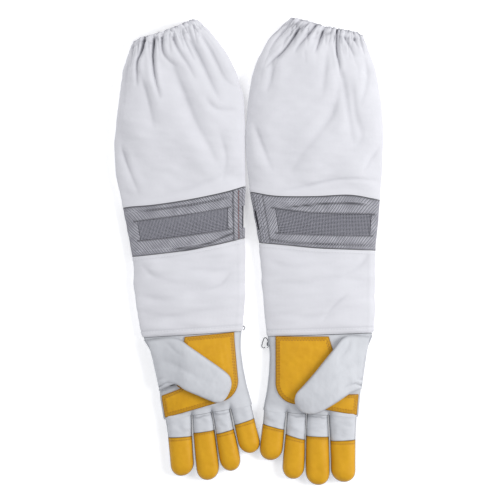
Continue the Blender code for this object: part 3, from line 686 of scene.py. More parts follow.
def merged(made):
    picked(made)
    bpy.ops.object.mode_set(mode="EDIT")
    bpy.ops.mesh.select_all(action="SELECT")
    bpy.ops.mesh.remove_doubles(threshold=0.000004)
    bpy.ops.mesh.select_all(action="DESELECT")
    bpy.ops.object.mode_set(mode="OBJECT")
    made.select_set(False)
    return made


stitchSizes = {"length": 2.5, "gap": 0.9, "width": 0.75, "height": 0.42}


def stitchRow(name, path, out, finish, sizes=stitchSizes):  # each stitch a low rounded bar on the surface
    steps = reachAlong(path) / mm
    pitch = sizes["length"] + sizes["gap"]
    starts = np.arange(sizes["gap"], steps[-1] - sizes["length"], pitch)
    verts, faces = [], []
    for start in starts:
        places = start + np.array([0, 0.16, 0.5, 0.84, 1]) * sizes["length"]
        line = np.stack([np.interp(places, steps, path[:, k]) for k in range(3)], -1)
        normal = np.array([np.interp(places[2], steps, out[:, k]) for k in range(3)])
        along = line[-1] - line[0]
        along /= np.linalg.norm(along)
        normal -= along * (normal @ along)
        normal /= np.linalg.norm(normal)
        aside = np.cross(along, normal)
        base = len(verts)
        for middle, share, drop in zip(line, (0.35, 0.9, 1.0, 0.9, 0.35), (-0.28, 0.02, 0.08, 0.02, -0.28)):
            for turn in np.linspace(0, 2 * math.pi, 6, endpoint=False):
                bulge = (
                    aside * math.cos(turn) * sizes["width"] / 2 + normal * math.sin(turn) * sizes["height"]
                )
                verts.append(middle + (bulge * share + normal * drop) * mm)
        for r in range(4):
            for k in range(6):
                n = (k + 1) % 6
                faces.append(
                    (base + r * 6 + k, base + r * 6 + n, base + r * 6 + 6 + n, base + r * 6 + 6 + k)
                )
        faces.append(tuple(base + k for k in range(5, -1, -1)))
        faces.append(tuple(base + 24 + k for k in range(6)))
    mesh = bpy.data.meshes.new(name)
    mesh.from_pydata([tuple(p) for p in verts], [], faces)
    mesh.materials.append(finish)
    made = linked(name, mesh)
    picked(made)
    bpy.ops.object.mode_set(mode="EDIT")
    bpy.ops.mesh.select_all(action="SELECT")
    bpy.ops.mesh.normals_make_consistent(inside=False)
    bpy.ops.object.mode_set(mode="OBJECT")
    return finished(made, 60)


def dropped(target, path, below=False):  # a path laid on a piece, with the surface's normals
    tree = BVHTree.FromObject(target, bpy.context.evaluated_depsgraph_get())
    start, way = (-0.05, 1) if below else (0.1, -1)
    places, out = [], []
    for x, y, *_ in path:
        hit, normal, _face, _far = tree.ray_cast(Vector((x, y, start)), Vector((0, 0, way)))
        if hit is not None:
            places.append(hit)
            out.append(normal if normal.z * way < 0 else -normal)
    return np.array(places), np.array(out)


def inGlove(side, path, lean, steps=400):  # a path in a glove's frame, made dense and placed
    path = np.array(path, float)
    reach = reachAlong(path)
    at = np.linspace(0, reach[-1], steps)
    points = np.stack([np.interp(at, reach, path[:, 0]), np.interp(at, reach, path[:, 1]), 0 * at], -1)
    return placed(side, points, lean)


def laidShell(side, local, amount, lean):  # a ring-shaped piece pushed out, and kept just above the table
    points = pushed(placed(side, local, lean), amount, closed=True)
    points[..., 2] = np.maximum(points[..., 2], tableGap * mm)
    return points


def rideAll(body, *made):
    for piece in made:
        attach(piece, body)


def bend(piece):
    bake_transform(piece)


# Sleeves
def ruffle(q, pitch, seed):  # round ridges with sharp valleys between them
    warped = q + wander(q, 0 * q, pitch * 5, seed) * pitch * 0.9
    swing = 0.55 + 0.6 * np.clip(0.5 + wander(q, 0 * q, pitch * 3, seed + 17), 0, 1.3)
    return (np.abs(np.sin(math.pi * warped / pitch)) ** 0.7 - 0.6) * swing


def hemPleats(glove, x, over, cuff):  # place round the hem of each column, in millimetres
    row = sleeveSection(glove, np.array([[cuff - 6.0]]), x[None], over[None])[0]
    return reachAlong(row)


upperSleeve = {
    "steps": 150, "rowStep": 1.7, "pleatDepth": 1.5, "swell": 1.8, "bend": 30, "smallFolds": 13,
    "wave": 1.1, "hemThick": 3.6,
}


def smallFolds(side, cuff):  # short seeded creases that start at the elastic
    source = np.random.default_rng(gloves[side]["seed"] + 70)
    width, shift, slant = gloves[side]["cuff"]
    made = []
    for k in range(upperSleeve["smallFolds"]):
        across = (k + source.uniform(0.1, 0.9)) / upperSleeve["smallFolds"] * 2 - 1
        u = shift + across * width * 0.48
        v = cuff - 9 - math.tan(math.radians(slant)) * across * width / 2
        reach, drift = source.uniform(9, 26), across * 3 + source.uniform(-3, 3)
        depth = source.uniform(0.7, 1.7)
        path = ((u, v), (u + drift * 0.4, v - reach * 0.5), (u + drift, v - reach))
        made.append((depth, source.uniform(1.2, 2.0), 1.0, path))
    return tuple(made)


def gathers(side, x, over, v, local, cuff):  # push out, lift and painted shade of the sleeve's cloth at rows v
    glove, s, cut = gloves[side], sleeveSizes, upperSleeve
    low, down = s["lowerLength"] + s["ventLength"], cuff - v
    u, w = local[..., 0], local[..., 1]
    height, dark = creased(u, w, folds[side] + smallFolds(side, cuff))
    top = np.where(over[None], np.clip(crown(x)[None] / 0.45, 0, 1), 0)
    q = hemPleats(glove, x, over, cuff)[None]
    slid = q + 0.8 * wander(q + 0 * down, down, 16, glove["seed"] + 9)
    fine = cut["pleatDepth"] * 0.6 * ruffle(slid, 4.4, glove["seed"]) * hump(np.maximum(0, down - 7), 6)
    middle = (
        cut["pleatDepth"] * 0.95 * ruffle(slid, 8.6, glove["seed"] + 1) * hump(np.maximum(0, down - 9), 16)
    )
    wide = cut["pleatDepth"] * 1.1 * ruffle(slid, 17.0, glove["seed"] + 2) * hump(down - 14, 40)
    puckers = 0.8 * wander(q + 0 * down, down * 0.7, 5.0, glove["seed"] + 14) * hump(down, 15)
    seams = np.clip((v - low) / 14, 0, 1)  # flat where it is sewn to the vent band
    swell = (
        cut["swell"] * wander(u, w * 0.6, 55, glove["seed"] + 5)
        + 0.35 * wander(u * 0.5, w, 13, glove["seed"] + 6)
    )
    amount = fine + middle + wide + puckers + (height * top + swell * (0.35 + 0.65 * top)) * seams
    amount += 0.35 * hump(v - low - 3.2, 2.2) - 0.25 * hump(v - low - 6.2, 0.9)
    amount = np.where(over[None], amount, np.abs(amount) * -0.5)
    wave = cut["wave"] * (ruffle(slid, 8.6, glove["seed"] + 1) + 0.9 * ruffle(slid, 4.4, glove["seed"]))
    base, sag = glove["hemSag"]
    droop = (base + sag * np.maximum(0, 1 - x**2)) * np.clip((60 - down) / 60, 0, 1) ** 1.5
    corner = 3.5 * np.abs(x) ** 10 * np.clip((16 - down) / 16, 0, 1)
    lift = wave * np.clip((9 - down) / 9, 0, 1) - droop - corner
    # painted shade in the creases, the pleat valleys and the puckers, and along the hem's rolled top edge
    valley = np.clip(-fine - middle - 0.1, 0, 1.5)
    shade = dark * top * seams + 0.5 * valley * hump(np.maximum(0, down - 8), 12)
    shade += 0.75 * hump(down, 1.6) * np.clip(0.5 + wander(q + 0 * down, down, 6, glove["seed"] + 15), 0, 1)
    shade += 0.6 * np.clip(-puckers - 0.1, 0, 1)
    return amount, lift, shade


def makeUpperSleeve(side):
    glove, s, cut = gloves[side], sleeveSizes, upperSleeve
    low = s["lowerLength"] + s["ventLength"]
    cuff = low + s["upperLength"]
    high = cuff - 1.0
    x, over = ringSpread(cut["steps"])
    v = np.linspace(low + 0.25, high, round((high - low) / cut["rowStep"]))[:, None]
    local = sleeveSection(glove, v, x[None], over[None])
    amount, lift, shade = gathers(side, x, over, v, local, cuff)
    local[..., 1] += lift
    points = laidShell(side, local, amount, "sleeveLean")
    made = loft(f"{side}UpperSleeve", points, canvas, closed=True, wall=s["wall"], shade=shade)
    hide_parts(f"{side}_upper_sleeve")
    bend(
        made,
    )


def makeCuffHem(side):  # the elastic's casing: the cloth turned over the edge and down inside
    glove, s = gloves[side], sleeveSizes
    cuff = s["lowerLength"] + s["ventLength"] + s["upperLength"]
    x, over = ringSpread(upperSleeve["steps"])
    t = upperSleeve["hemThick"]
    profile = (
        (-1.7, 0.55, 1), (-1.0, 0.05, 1), (-0.4, 0.1, 1), (-0.05, 0.8, 1), (0, t / 2, 0.9),
        (-0.2, t - 0.9, 0.85),
        (-0.9, t - 0.2, 0.85), (-2.5, t, 0.85), (-6, t, 0.85), (-10.5, t, 0.85), (-11.8, t - 0.4, 0.9),
        (-12.1, 2.5, 1),
        (-11.5, 1.9, 1), (-6, 1.7, 1), (-2.4, 1.3, 1), (-1.7, 0.55, 1),
    )
    along, inset, share = (np.array(column)[:, None] for column in zip(*profile))
    v = cuff + along
    local = np.concatenate([
        sleeveSection(glove, v[k : k + 1], x[None], over[None], inset[k, 0]) for k in range(len(profile))
    ])
    amount, lift, shade = gathers(side, x, over, v, local, cuff)
    local[..., 1] += lift
    base = sleeveSection(glove, np.array([[cuff]]), x[None], over[None])
    out = normals(placed(side, np.concatenate([base, base + (0, 1, 0)]), "sleeveLean"), True)[0]
    rows = placed(side, local, "sleeveLean") + out[None] * (amount * share)[..., None] * mm
    rows[..., 2] = np.maximum(rows[..., 2], (tableGap + 0.3 * inset) * mm)
    rows[-1] = rows[0]
    # painted shade, deeper on the inner ply turned down inside the opening
    made = merged(loft(f"{side}CuffHem", rows, canvas, closed=True, shade=shade + 0.3 * (inset > t - 1)))
    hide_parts(f"{side}_cuff_hem", f"{side}_cuff_elastic")
    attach(made, f"{side}_upper")


lowerFolds = {
    "left": (
        (1.1, 6.5, 0.0, ((-50, 26), (-10, 21), (34, 27), (58, 22))),
        (1.0, 5.5, 0.0, ((-58, 64), (-20, 60), (24, 65), (60, 58))),
        (1.2, 4.5, 0.0, ((58, 92), (46, 76), (26, 66))), (0.9, 6.0, 0.0, ((-60, 90), (-36, 80), (-10, 79))),
        (1.0, 3.2, 0.3, ((30, 44), (14, 30), (2, 12))),
    ),
    "right": (
        (1.1, 6.5, 0.0, ((58, 28), (20, 22), (-24, 28), (-56, 24))),
        (1.0, 5.5, 0.0, ((-60, 76), (-30, 72), (6, 77))),
        (1.2, 4.5, 0.0, ((56, 86), (40, 70), (14, 62))), (0.9, 6.0, 0.0, ((58, 50), (34, 43), (6, 47))),
        (0.9, 3.2, 0.3, ((-46, 66), (-34, 54), (-12, 50))),
    ),
}
lowerSleeve = {"steps": 84, "rowStep": 1.8, "ripple": 0.5, "bend": 24}


def makeLowerSleeve(side):
    glove, s, cut = gloves[side], sleeveSizes, lowerSleeve
    x, over = ringSpread(cut["steps"])
    low, high = 0.25, s["lowerLength"] - 0.25
    v = np.linspace(low, high, round((high - low) / cut["rowStep"]))[:, None]
    local = sleeveSection(glove, v, x[None], over[None])
    u, w = local[..., 0], local[..., 1]
    top = np.where(over[None], np.clip(crown(x)[None] / 0.5, 0, 1), 0)
    calm = np.clip((v - low) / 10, 0, 1) * np.clip((high - v) / 6, 0, 1)
    height, dark = creased(u, w, lowerFolds[side])
    amount = cut["ripple"] * wander(u * 0.35, w, 14, glove["seed"] + 11) * calm
    amount += (0.9 * wander(u, w, 60, glove["seed"] + 12) + height) * calm * (0.3 + 0.7 * top)
    amount -= 0.8 * hump(v, 1.8)  # the edge is turned in
    amount += 0.5 * hump(v - 3.6, 2.4, 4) - 0.35 * hump(v - 7.2, 0.8)
    amount += 0.35 * hump(high - v - 3.0, 2.2) - 0.2 * hump(high - v - 6.0, 0.9)
    felled = np.where(over, hump(x - glove["felled"] * 0.9, 0.035, 4), 0)[None]
    amount = np.where(over[None], amount + 0.35 * felled, np.abs(amount) * -0.5)
    points = laidShell(side, local, amount, "sleeveLean")
    # painted shade in the creases and in the groove beside the wrist stitching
    shade = dark * top * calm + 0.2 * hump(v - 7.2, 0.8) + 0 * u
    made = loft(f"{side}LowerSleeve", points, canvas, closed=True, wall=s["wall"], shade=shade)
    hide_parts(f"{side}_lower_sleeve")
    rows = []
    for level, name in ((5.6, "Wrist"), (high - 3.0, "Vent")):
        row = int(np.argmin(np.abs(v[:, 0] - level)))
        path = points[row]
        out = normals(points, True)[row]
        rows.append((name, path, out))
    for piece in [made] + [stitchRow(f"{side}{n}Stitches", p, o, whiteThread) for n, p, o in rows]:
        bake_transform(piece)


ventBand = {
    "steps": 120, "threadPitch": 1.7, "threadSize": 0.6, "strip": 1.2, "liningDepth": 2.6,
    "threadDepth": 1.05,
    "slit": (-0.982, -0.935), "tape": (-0.951, -0.80), "windowHeight": 31,
}
# Folded strips on the band, each a path in the glove's frame
strips = {
    "left": (
        ((-38, 149.5), (-10, 149.5), (12, 149.0), (32, 147.2), (62, 143.6)),
        ((-66, 113), (-30, 108.0), (20, 104.5), (66, 100.5)),
    ),
    "right": (
        ((58, 147), (20, 150), (-20, 154.5), (-60, 159)),
        ((20, 104.0), (0, 103.5), (-24, 107), (-46, 113), (-60, 116)),
    ),
}


def makeVentBand(side):
    glove, s, cut = gloves[side], sleeveSizes, ventBand
    low, high = s["lowerLength"] + 0.25, s["lowerLength"] + s["ventLength"] - 0.25
    half = (s["ventLowWidth"] + s["ventTopWidth"]) / 4
    first, last = ((end + 0.5) / half for end in glove["windowEnds"])
    x, over = ringSpread(cut["steps"], (-1, *cut["slit"], first, last, 1))
    cols = len(x)
    along = x * half - 0.5
    bottom = np.interp(along, *zip(*glove["windowLow"]))
    roof = np.interp(along, *zip(*glove["windowHigh"]))
    shares = [(low, bottom, 9), (bottom, roof, 14), (roof, high + 0 * along, 9)]
    v = [low + 0 * along]
    for a, b, count in shares:
        for t in np.linspace(0, 1, count + 1)[1:]:
            v.append(a + (b - a) * t)
    v = np.array(v)
    local = sleeveSection(glove, v, x[None], over[None])
    u, w = local[..., 0], local[..., 1]
    amount = (
        0.5 * wander(u * 0.5, w, 24, glove["seed"] + 21) * np.clip((v - low) / 5, 0, 1)
        * np.clip((high - v) / 5, 0, 1)
    )
    # painted shade along the folded strips, at the band's seams and round the window's rim
    shade = 0 * u
    for strip in strips[side]:
        distance, hand, at = nearPath(u, w, smoothPath(strip))
        fade = np.clip(at * (1 - at) * 9, 0, 1)
        below = distance * np.where(hand * (1 if strip[0][0] < strip[-1][0] else -1) > 0, 1, -1)
        amount += cut["strip"] * fade * (hump(below - 2.4, 1.8) - 0.8 * hump(distance, 1.1))
        shade = np.maximum(shade, hump(distance, 1.0) * fade)
    edge = np.minimum(v - low, high - v)
    shade = np.maximum(shade, 0.95 * hump(edge, 1.2))
    inside = (along >= glove["windowEnds"][0] - 4) & (along <= glove["windowEnds"][1] + 4)
    rim = np.minimum(np.abs(v - bottom), np.abs(v - roof))
    shade = np.maximum(shade, 0.85 * hump(rim, 0.9) * inside)
    amount = np.where(over[None], amount, np.abs(amount) * -0.6)
    points = laidShell(side, local, amount, "sleeveLean")
    faceX = (x + np.roll(x, -1)) / 2
    sameSide = over == np.roll(over, -1)
    windowCols = (faceX > first) & (faceX < last) & sameSide
    slitLow, slitHigh = cut["slit"]
    sliver = (faceX > slitLow) & (faceX < slitHigh) & sameSide if side == "left" else (faceX < slitHigh)
    keep = np.ones((len(v) - 1, cols), bool)
    keep[9:23, windowCols] = False
    keep[(slice(10, 20) if side == "left" else slice(8, 22)), sliver] = False
    band = loft(f"{side}VentFrame", points, netting, closed=True, wall=s["netWall"], shade=shade, keep=keep)
    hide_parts(f"{side}_vent_frame")
    # the lining: netting inside the window, painted dark and given more painted shade, standing for the
    # shaded inner layers
    inner = pushed(placed(side, local, "sleeveLean"), 0 * amount - cut["liningDepth"], closed=True)
    lining = loft(f"{side}VentMesh", inner, paintedShadeNetting, closed=True, wall=s["netWall"], shade=0.4 + 0 * u)
    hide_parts(f"{side}_vent_mesh")

    # Window threads: a lattice of real strands between the folded edges
    lattice = []
    for above in (True, False):
        nu = round((glove["windowEnds"][1] - glove["windowEnds"][0] + 4) / cut["threadPitch"])
        nv = round(cut["windowHeight"] / cut["threadPitch"])
        su = np.linspace(glove["windowEnds"][0] - 2, glove["windowEnds"][1] + 2, nu + 1)
        floorLine = np.interp(su, *zip(*glove["windowLow"])) - 1.5
        roofLine = np.interp(su, *zip(*glove["windowHigh"])) + 1.5
        sv = floorLine + (roofLine - floorLine) * np.linspace(0, 1, nv + 1)[:, None]
        sx = np.clip((su + 0.5) / half, -0.99, 0.99)
        grid = sleeveSection(glove, sv, sx[None], np.full(len(sx), above)[None])
        grid = pushed(
            placed(side, grid, "sleeveLean"), np.full(sv.shape, -cut["threadDepth"]), up=1 if above else -1,
        )
        net = loft(
            f"{side}{'Palm' if above else 'Back'}WindowThreads", grid, netThread, up=1 if above else -1,
        )
        wires = net.modifiers.new("strands", "WIREFRAME")
        wires.thickness = cut["threadSize"] * mm
        wires.use_even_offset = False
        lattice.append(finished(net, 60))
    first, last = cut["tape"]
    tx = -np.cos(np.linspace(math.acos(-first), math.acos(-last), 9))
    tv = np.linspace(low + 0.6, high - 0.6, 34)[:, None]
    flat = sleeveSection(glove, tv, tx[None], np.full(9, True)[None])
    puff = 1.3 + 0.5 * wander(flat[..., 0], flat[..., 1] * 0.7, 9, glove["seed"] + 30)
    puff += np.where(np.abs(np.arange(9) - 4) < 1, -0.25, 0.0)[None]
    # the tape is painted with shade at its edges and along its stitched middle
    tape = loft(
        f"{side}VentSeamTape", pushed(placed(side, flat, "sleeveLean"), puff), netting, wall=0.7,
        shade=np.broadcast_to(np.array([0.7, 0.1, 0, 0.2, 0.5, 0.2, 0, 0.1, 0.7]), puff.shape),
    )
    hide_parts(f"{side}_vent_seam_tape")
    line = pushed(placed(side, flat, "sleeveLean"), puff + 0.1)
    seam = stitchRow(
        f"{side}TapeStitches", line[:, 4], towards(normals(line), 1)[:, 4],
        redThread if side == "right" else netThread,
        {"length": 2.6, "gap": 0.5, "width": 0.9, "height": 0.4},
    )
    outs = normals(points, True)
    rows = [
        stitchRow(
            f"{side}Vent{n}Stitches", points[r], outs[r], netThread,
            {"length": 2.0, "gap": 1.4, "width": 0.6, "height": 0.35},
        )
        for n, r in (("Lower", 3), ("Upper", -4))
    ]
    rideAll(f"{side}_forearm", band, lining, tape, seam, *lattice, *rows)


def makeSleeves(side):
    makeUpperSleeve(side)
    makeCuffHem(side)
    makeLowerSleeve(side)
    makeVentBand(side)
    print(side, "sleeve made")


# Hands
handFolds = {
    "left": (
        (1.0, 1.8, 0.3, ((35, -2), (28, -10), (20, -18), (14, -26))),
        (0.5, 1.6, 0.0, ((-50, -20), (-44, -40), (-46, -62))),
        (0.5, 1.4, 0.0, ((-30, -84), (-10, -86), (10, -87))),
    ),
    "right": (
        (1.0, 1.8, 0.3, ((30, -2), (20, -12), (8, -22), (0, -30))),
        (0.5, 1.6, 0.0, ((-48, -22), (-43, -42), (-45, -60))),
        (0.5, 1.4, 0.0, ((-32, -82), (-12, -85), (8, -87))),
    ),
}
palm = {"steps": 80, "rows": 64, "hole": (33.0, -36.0), "holeSize": (17.0, 40.0)}


def panel(side, over, rows, columns):  # local points of the palm's or the back's leather
    glove = gloves[side]
    turn = (glove["handLean"] - glove["sleeveLean"]) * glove["side"]
    table = handTable(turn)
    v = np.linspace(-0.25, -handSizes["length"] + 0.25, rows)[:, None]
    half, slant, shift, thick = (eased(v, table, k) for k in (1, 2, 3, 4))
    x = -np.cos(np.linspace(0, math.pi, columns))[None]
    x = np.concatenate([[[-1]], x, [[1]]], axis=1)
    local = section(v, x, np.full(x.shape, over), half, slant, shift, thick)
    if over:
        lobes = 0 * local[..., 0] + 9.0
        for size in fingers.values():
            slope = math.radians(handSizes["knuckleSlant"])
            away = np.abs(
                (local[..., 0] - handSizes["knuckleShift"] - size["at"] * math.cos(slope))
                / (size["root"] / 2)
            )
            lobes = np.maximum(lobes, 7.7 + 7.8 * np.maximum(0, 1 - away**3.2) ** 0.6)
        share = np.clip((-v - 81) / 9.5, 0, 1) ** 1.6
        local[..., 2] = local[..., 2] * (1 - share) + np.minimum(lobes, local[..., 2] + 3) * share
    edge = (seamShare * thick + (0.25 if over else -0.25))[:, 0]
    local[:, 0, 2] = edge
    local[:, -1, 2] = edge
    return local, x, v


def boxOutline(centre, width, height, radius, slant):
    points = []
    for sx, sy, start in ((1, 1, 0), (-1, 1, 90), (-1, -1, 180), (1, -1, 270)):
        for k in range(7):
            a = math.radians(start + 15 * k)
            points.append((
                sx * (width / 2 - radius) + radius * math.cos(a),
                sy * (height / 2 - radius) + radius * math.sin(a),
            ))
    c, s = math.cos(math.radians(slant)), math.sin(math.radians(slant))
    return np.array([(centre[0] + u * c + v * s, centre[1] - u * s + v * c) for u, v in points])


def makePalmAndBack(side):
    glove = gloves[side]
    local, x, v = panel(side, True, palm["rows"], palm["steps"])
    u, w = local[..., 0].copy(), local[..., 1].copy()
    hole = boxOutline(palm["hole"], *palm["holeSize"], palm["holeSize"][0] * 0.45, 8)
    middleU, middleV = (a[:-1, :-1] + a[1:, 1:] + a[:-1, 1:] + a[1:, :-1] for a in (u / 4, w / 4))
    cells = ~inOutline(middleU, middleV, hole)
    around = np.ones((u.shape[0] + 1, u.shape[1] + 1), int)
    around[1:-1, 1:-1] = cells
    near = nearPath(u, w, np.array([*hole, hole[0]]))[0] < 2.2
    fullU, fullV = u.copy(), w.copy()
    border = around[1:, 1:] + around[:-1, 1:] + around[1:, :-1] + around[:-1, :-1]
    for i, j in zip(*np.nonzero((border < 4) & near)):
        k = int(np.argmin(np.hypot(hole[:, 0] - u[i, j], hole[:, 1] - w[i, j])))
        fullU[i, j], fullV[i, j] = hole[k]
    local[..., 0], local[..., 1] = fullU, fullV
    calm = np.clip(crown(x) / 0.5, 0, 1)
    height, dark = creased(u, w, handFolds[side])
    amount = (
        0.35 * wander(u, w, 26, glove["seed"] + 41) + 0.18 * wander(u, w, 8, glove["seed"] + 42)
        + 0.6 * height
    ) * calm
    points = pushed(placed(side, local, "handLean"), amount)
    edge = np.clip(1 - crown(x) / 0.4, 0, 1)
    # painted shade in the creases, at the sides that turn under and along the wrist seam
    front = loft(
        f"{side}PalmPanel", points, whiteLeather, wall=handSizes["leather"], keep=cells,
        shade=dark * calm + 0.5 * edge**2 + 0.3 * hump(v, 1.2),
    )
    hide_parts(f"{side}_palm_panel")
    local, x, v = panel(side, False, palm["rows"], palm["steps"])
    u, w = local[..., 0], local[..., 1]
    amount = np.abs(
        0.35 * wander(u, w, 22, glove["seed"] + 43) + 0.2 * wander(u * 0.4, w, 7, glove["seed"] + 44)
    )
    points = pushed(placed(side, local, "handLean"), -amount * np.clip(crown(x) / 0.5, 0, 1), up=-1)
    # painted shade at the sides that turn under
    back = loft(
        f"{side}HandBack", points, whiteLeather, up=-1, wall=handSizes["leather"],
        shade=0.5 * np.clip(1 - crown(x) / 0.4, 0, 1) ** 2 + 0 * u,
    )
    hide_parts(f"{side}_hand_back")
    table = handTable(0)
    ends = []
    for at, name in ((-1.0, "Outer"), (1.0, "Inner")):
        level = np.linspace(-1.0, -handSizes["length"] + 1.0, 60)
        half, slant, shift, thick = (eased(level, table, k) for k in (1, 2, 3, 4))
        line = section(level, at + 0 * level, True, half + 0.15, slant, shift, thick)
        line[:, 2] = seamShare * thick
        ends.append(tube(f"{side}{name}Welt", placed(side, line, "handLean"), 0.75, whiteLeather))
    rideAll(f"{side}_hand", front, back, *ends)


patch = {
    "top": -1.5, "ulnar": -50.5, "wristEnd": 9.0, "corner": 24.0, "foot": 2.5, "slant": 11.0,
    "armTop": -68.0, "armIn": 26.0, "innerCorner": 10.0, "edge": 1.0, "cell": 1.0,
}


def arcPoints(centre, radius, start, end, steps):
    turns = [math.radians(start + (end - start) * k / steps) for k in range(steps + 1)]
    return [(centre[0] + radius * math.cos(a), centre[1] + radius * math.sin(a)) for a in turns]


def patchOutline(glove):
    length, shift = handSizes["length"], handSizes["knuckleShift"]
    outer = handEdge(-length) - patch["edge"]
    knuckle = -length - math.tan(math.radians(handSizes["knuckleSlant"])) * (outer - shift)

    def foot(u):
        return knuckle + patch["foot"] - math.tan(math.radians(patch["slant"])) * (u - outer)

    corner = (patch["ulnar"] + patch["corner"], foot(patch["ulnar"] + patch["corner"]) + patch["corner"])
    armTop = patch["armTop"] + glove["armRise"]
    armInside = armTop + glove["armSlope"] * (outer - patch["armIn"])
    inner = (patch["armIn"] - patch["innerCorner"], armInside + patch["innerCorner"])
    return [
        (patch["wristEnd"], patch["top"]), (patch["ulnar"], patch["top"]),
        *arcPoints(corner, patch["corner"], 180, 270 - patch["slant"], 16), (outer, foot(outer)),
        (handEdge(armTop) - patch["edge"], armTop), *arcPoints(inner, patch["innerCorner"], 290, 360, 8),
    ]


def makePatch(side):
    glove = gloves[side]
    outline = np.array(patchOutline(glove))
    low, high = outline.min(0) - 1.5, outline.max(0) + 1.5
    us = np.linspace(low[0], high[0], round((high[0] - low[0]) / patch["cell"]))
    vs = np.linspace(low[1], high[1], round((high[1] - low[1]) / patch["cell"]))
    u, v = np.meshgrid(us, vs)
    cells = inOutline((u[:-1, :-1] + u[1:, 1:]) / 2, (v[:-1, :-1] + v[1:, 1:]) / 2, outline)
    u, v = snapped(u, v, outline, cells)
    distance = nearPath(u, v, np.array([*outline, outline[0]]))[0]
    z = handTop(u, v) + 1.75 - 0.55 * hump(distance, 1.6) - 0.35 * hump(distance - 3.4, 0.8)
    z += 0.22 * wander(u, v, 19, glove["seed"] + 51) * np.clip(distance / 8, 0, 1)
    z += 0.12 * wander(u, v, 5.5, glove["seed"] + 52) * np.clip(distance / 5, 0, 1)
    points = placed(side, np.stack([u, v, z], -1), "handLean")
    # painted shade on the edge where it dips and in the stitch groove, partly the leather's darker cut edge
    shade = 0.95 * hump(distance, 1.3) + 0.4 * hump(distance - 3.4, 0.9)
    made = loft(
        f"{side}PalmPatch", points, yellowLeather, wall=handSizes["leather"], keep=cells, shade=shade,
    )
    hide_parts(f"{side}_palm_patch")
    pieces = [made]
    for inset, name in ((2.4, "Outer"), (4.6, "Inner")):
        line = insetLine(outline, inset)
        path, out = dropped(made, inGlove(side, line, "handLean", 700))
        pieces.append(stitchRow(f"{side}Patch{name}Stitches", path + out * 0.05 * mm, out, goldThread,
                                {"length": 2.3, "gap": 1.0, "width": 0.65, "height": 0.36}))
    rideAll(f"{side}_hand", *pieces)


def insetLine(outline, inset):  # the outline moved inwards, its corners kept
    found = []
    for before, here, after in zip(np.roll(outline, 1, 0), outline, np.roll(outline, -1, 0)):
        a, b = here - before, after - here
        a, b = a / np.linalg.norm(a), b / np.linalg.norm(b)
        left = np.array([-a[1], a[0]]) + np.array([-b[1], b[0]])
        left /= max(0.6, 1 + a @ b)
        found.append(here + left * inset)
    found = np.array(found)
    if not inOutline(np.array([found[0][0]]), np.array([found[0][1]]), outline)[0]:
        found = 2 * outline - found
    return np.array([*found, found[0]])


# Thumbs
thumbFolds = {
    "left": (
        (1.5, 1.6, 1.0, ((46, -58), (38, -55), (31, -57), (26, -60))),
        (0.9, 1.4, 1.0, ((50, -52), (42, -50), (36, -52))),
        (0.7, 2.4, 0.2, ((34, -4), (30, -16), (20, -28))),
        (0.8, 5.0, 0.0, ((44, -30), (20, -44), (-2, -62))),
    ),
    "right": (
        (1.5, 1.6, 1.0, ((46, -56), (38, -52), (31, -52), (24, -54))),
        (0.9, 1.4, 1.0, ((50, -50), (42, -46), (36, -46))),
        (0.7, 2.4, 0.2, ((32, -4), (22, -16), (10, -24))),
        (0.9, 5.0, 0.0, ((42, -24), (20, -34), (-8, -52))),
    ),
}
thumb = {"rows": 70, "steps": 46, "bend": 15}


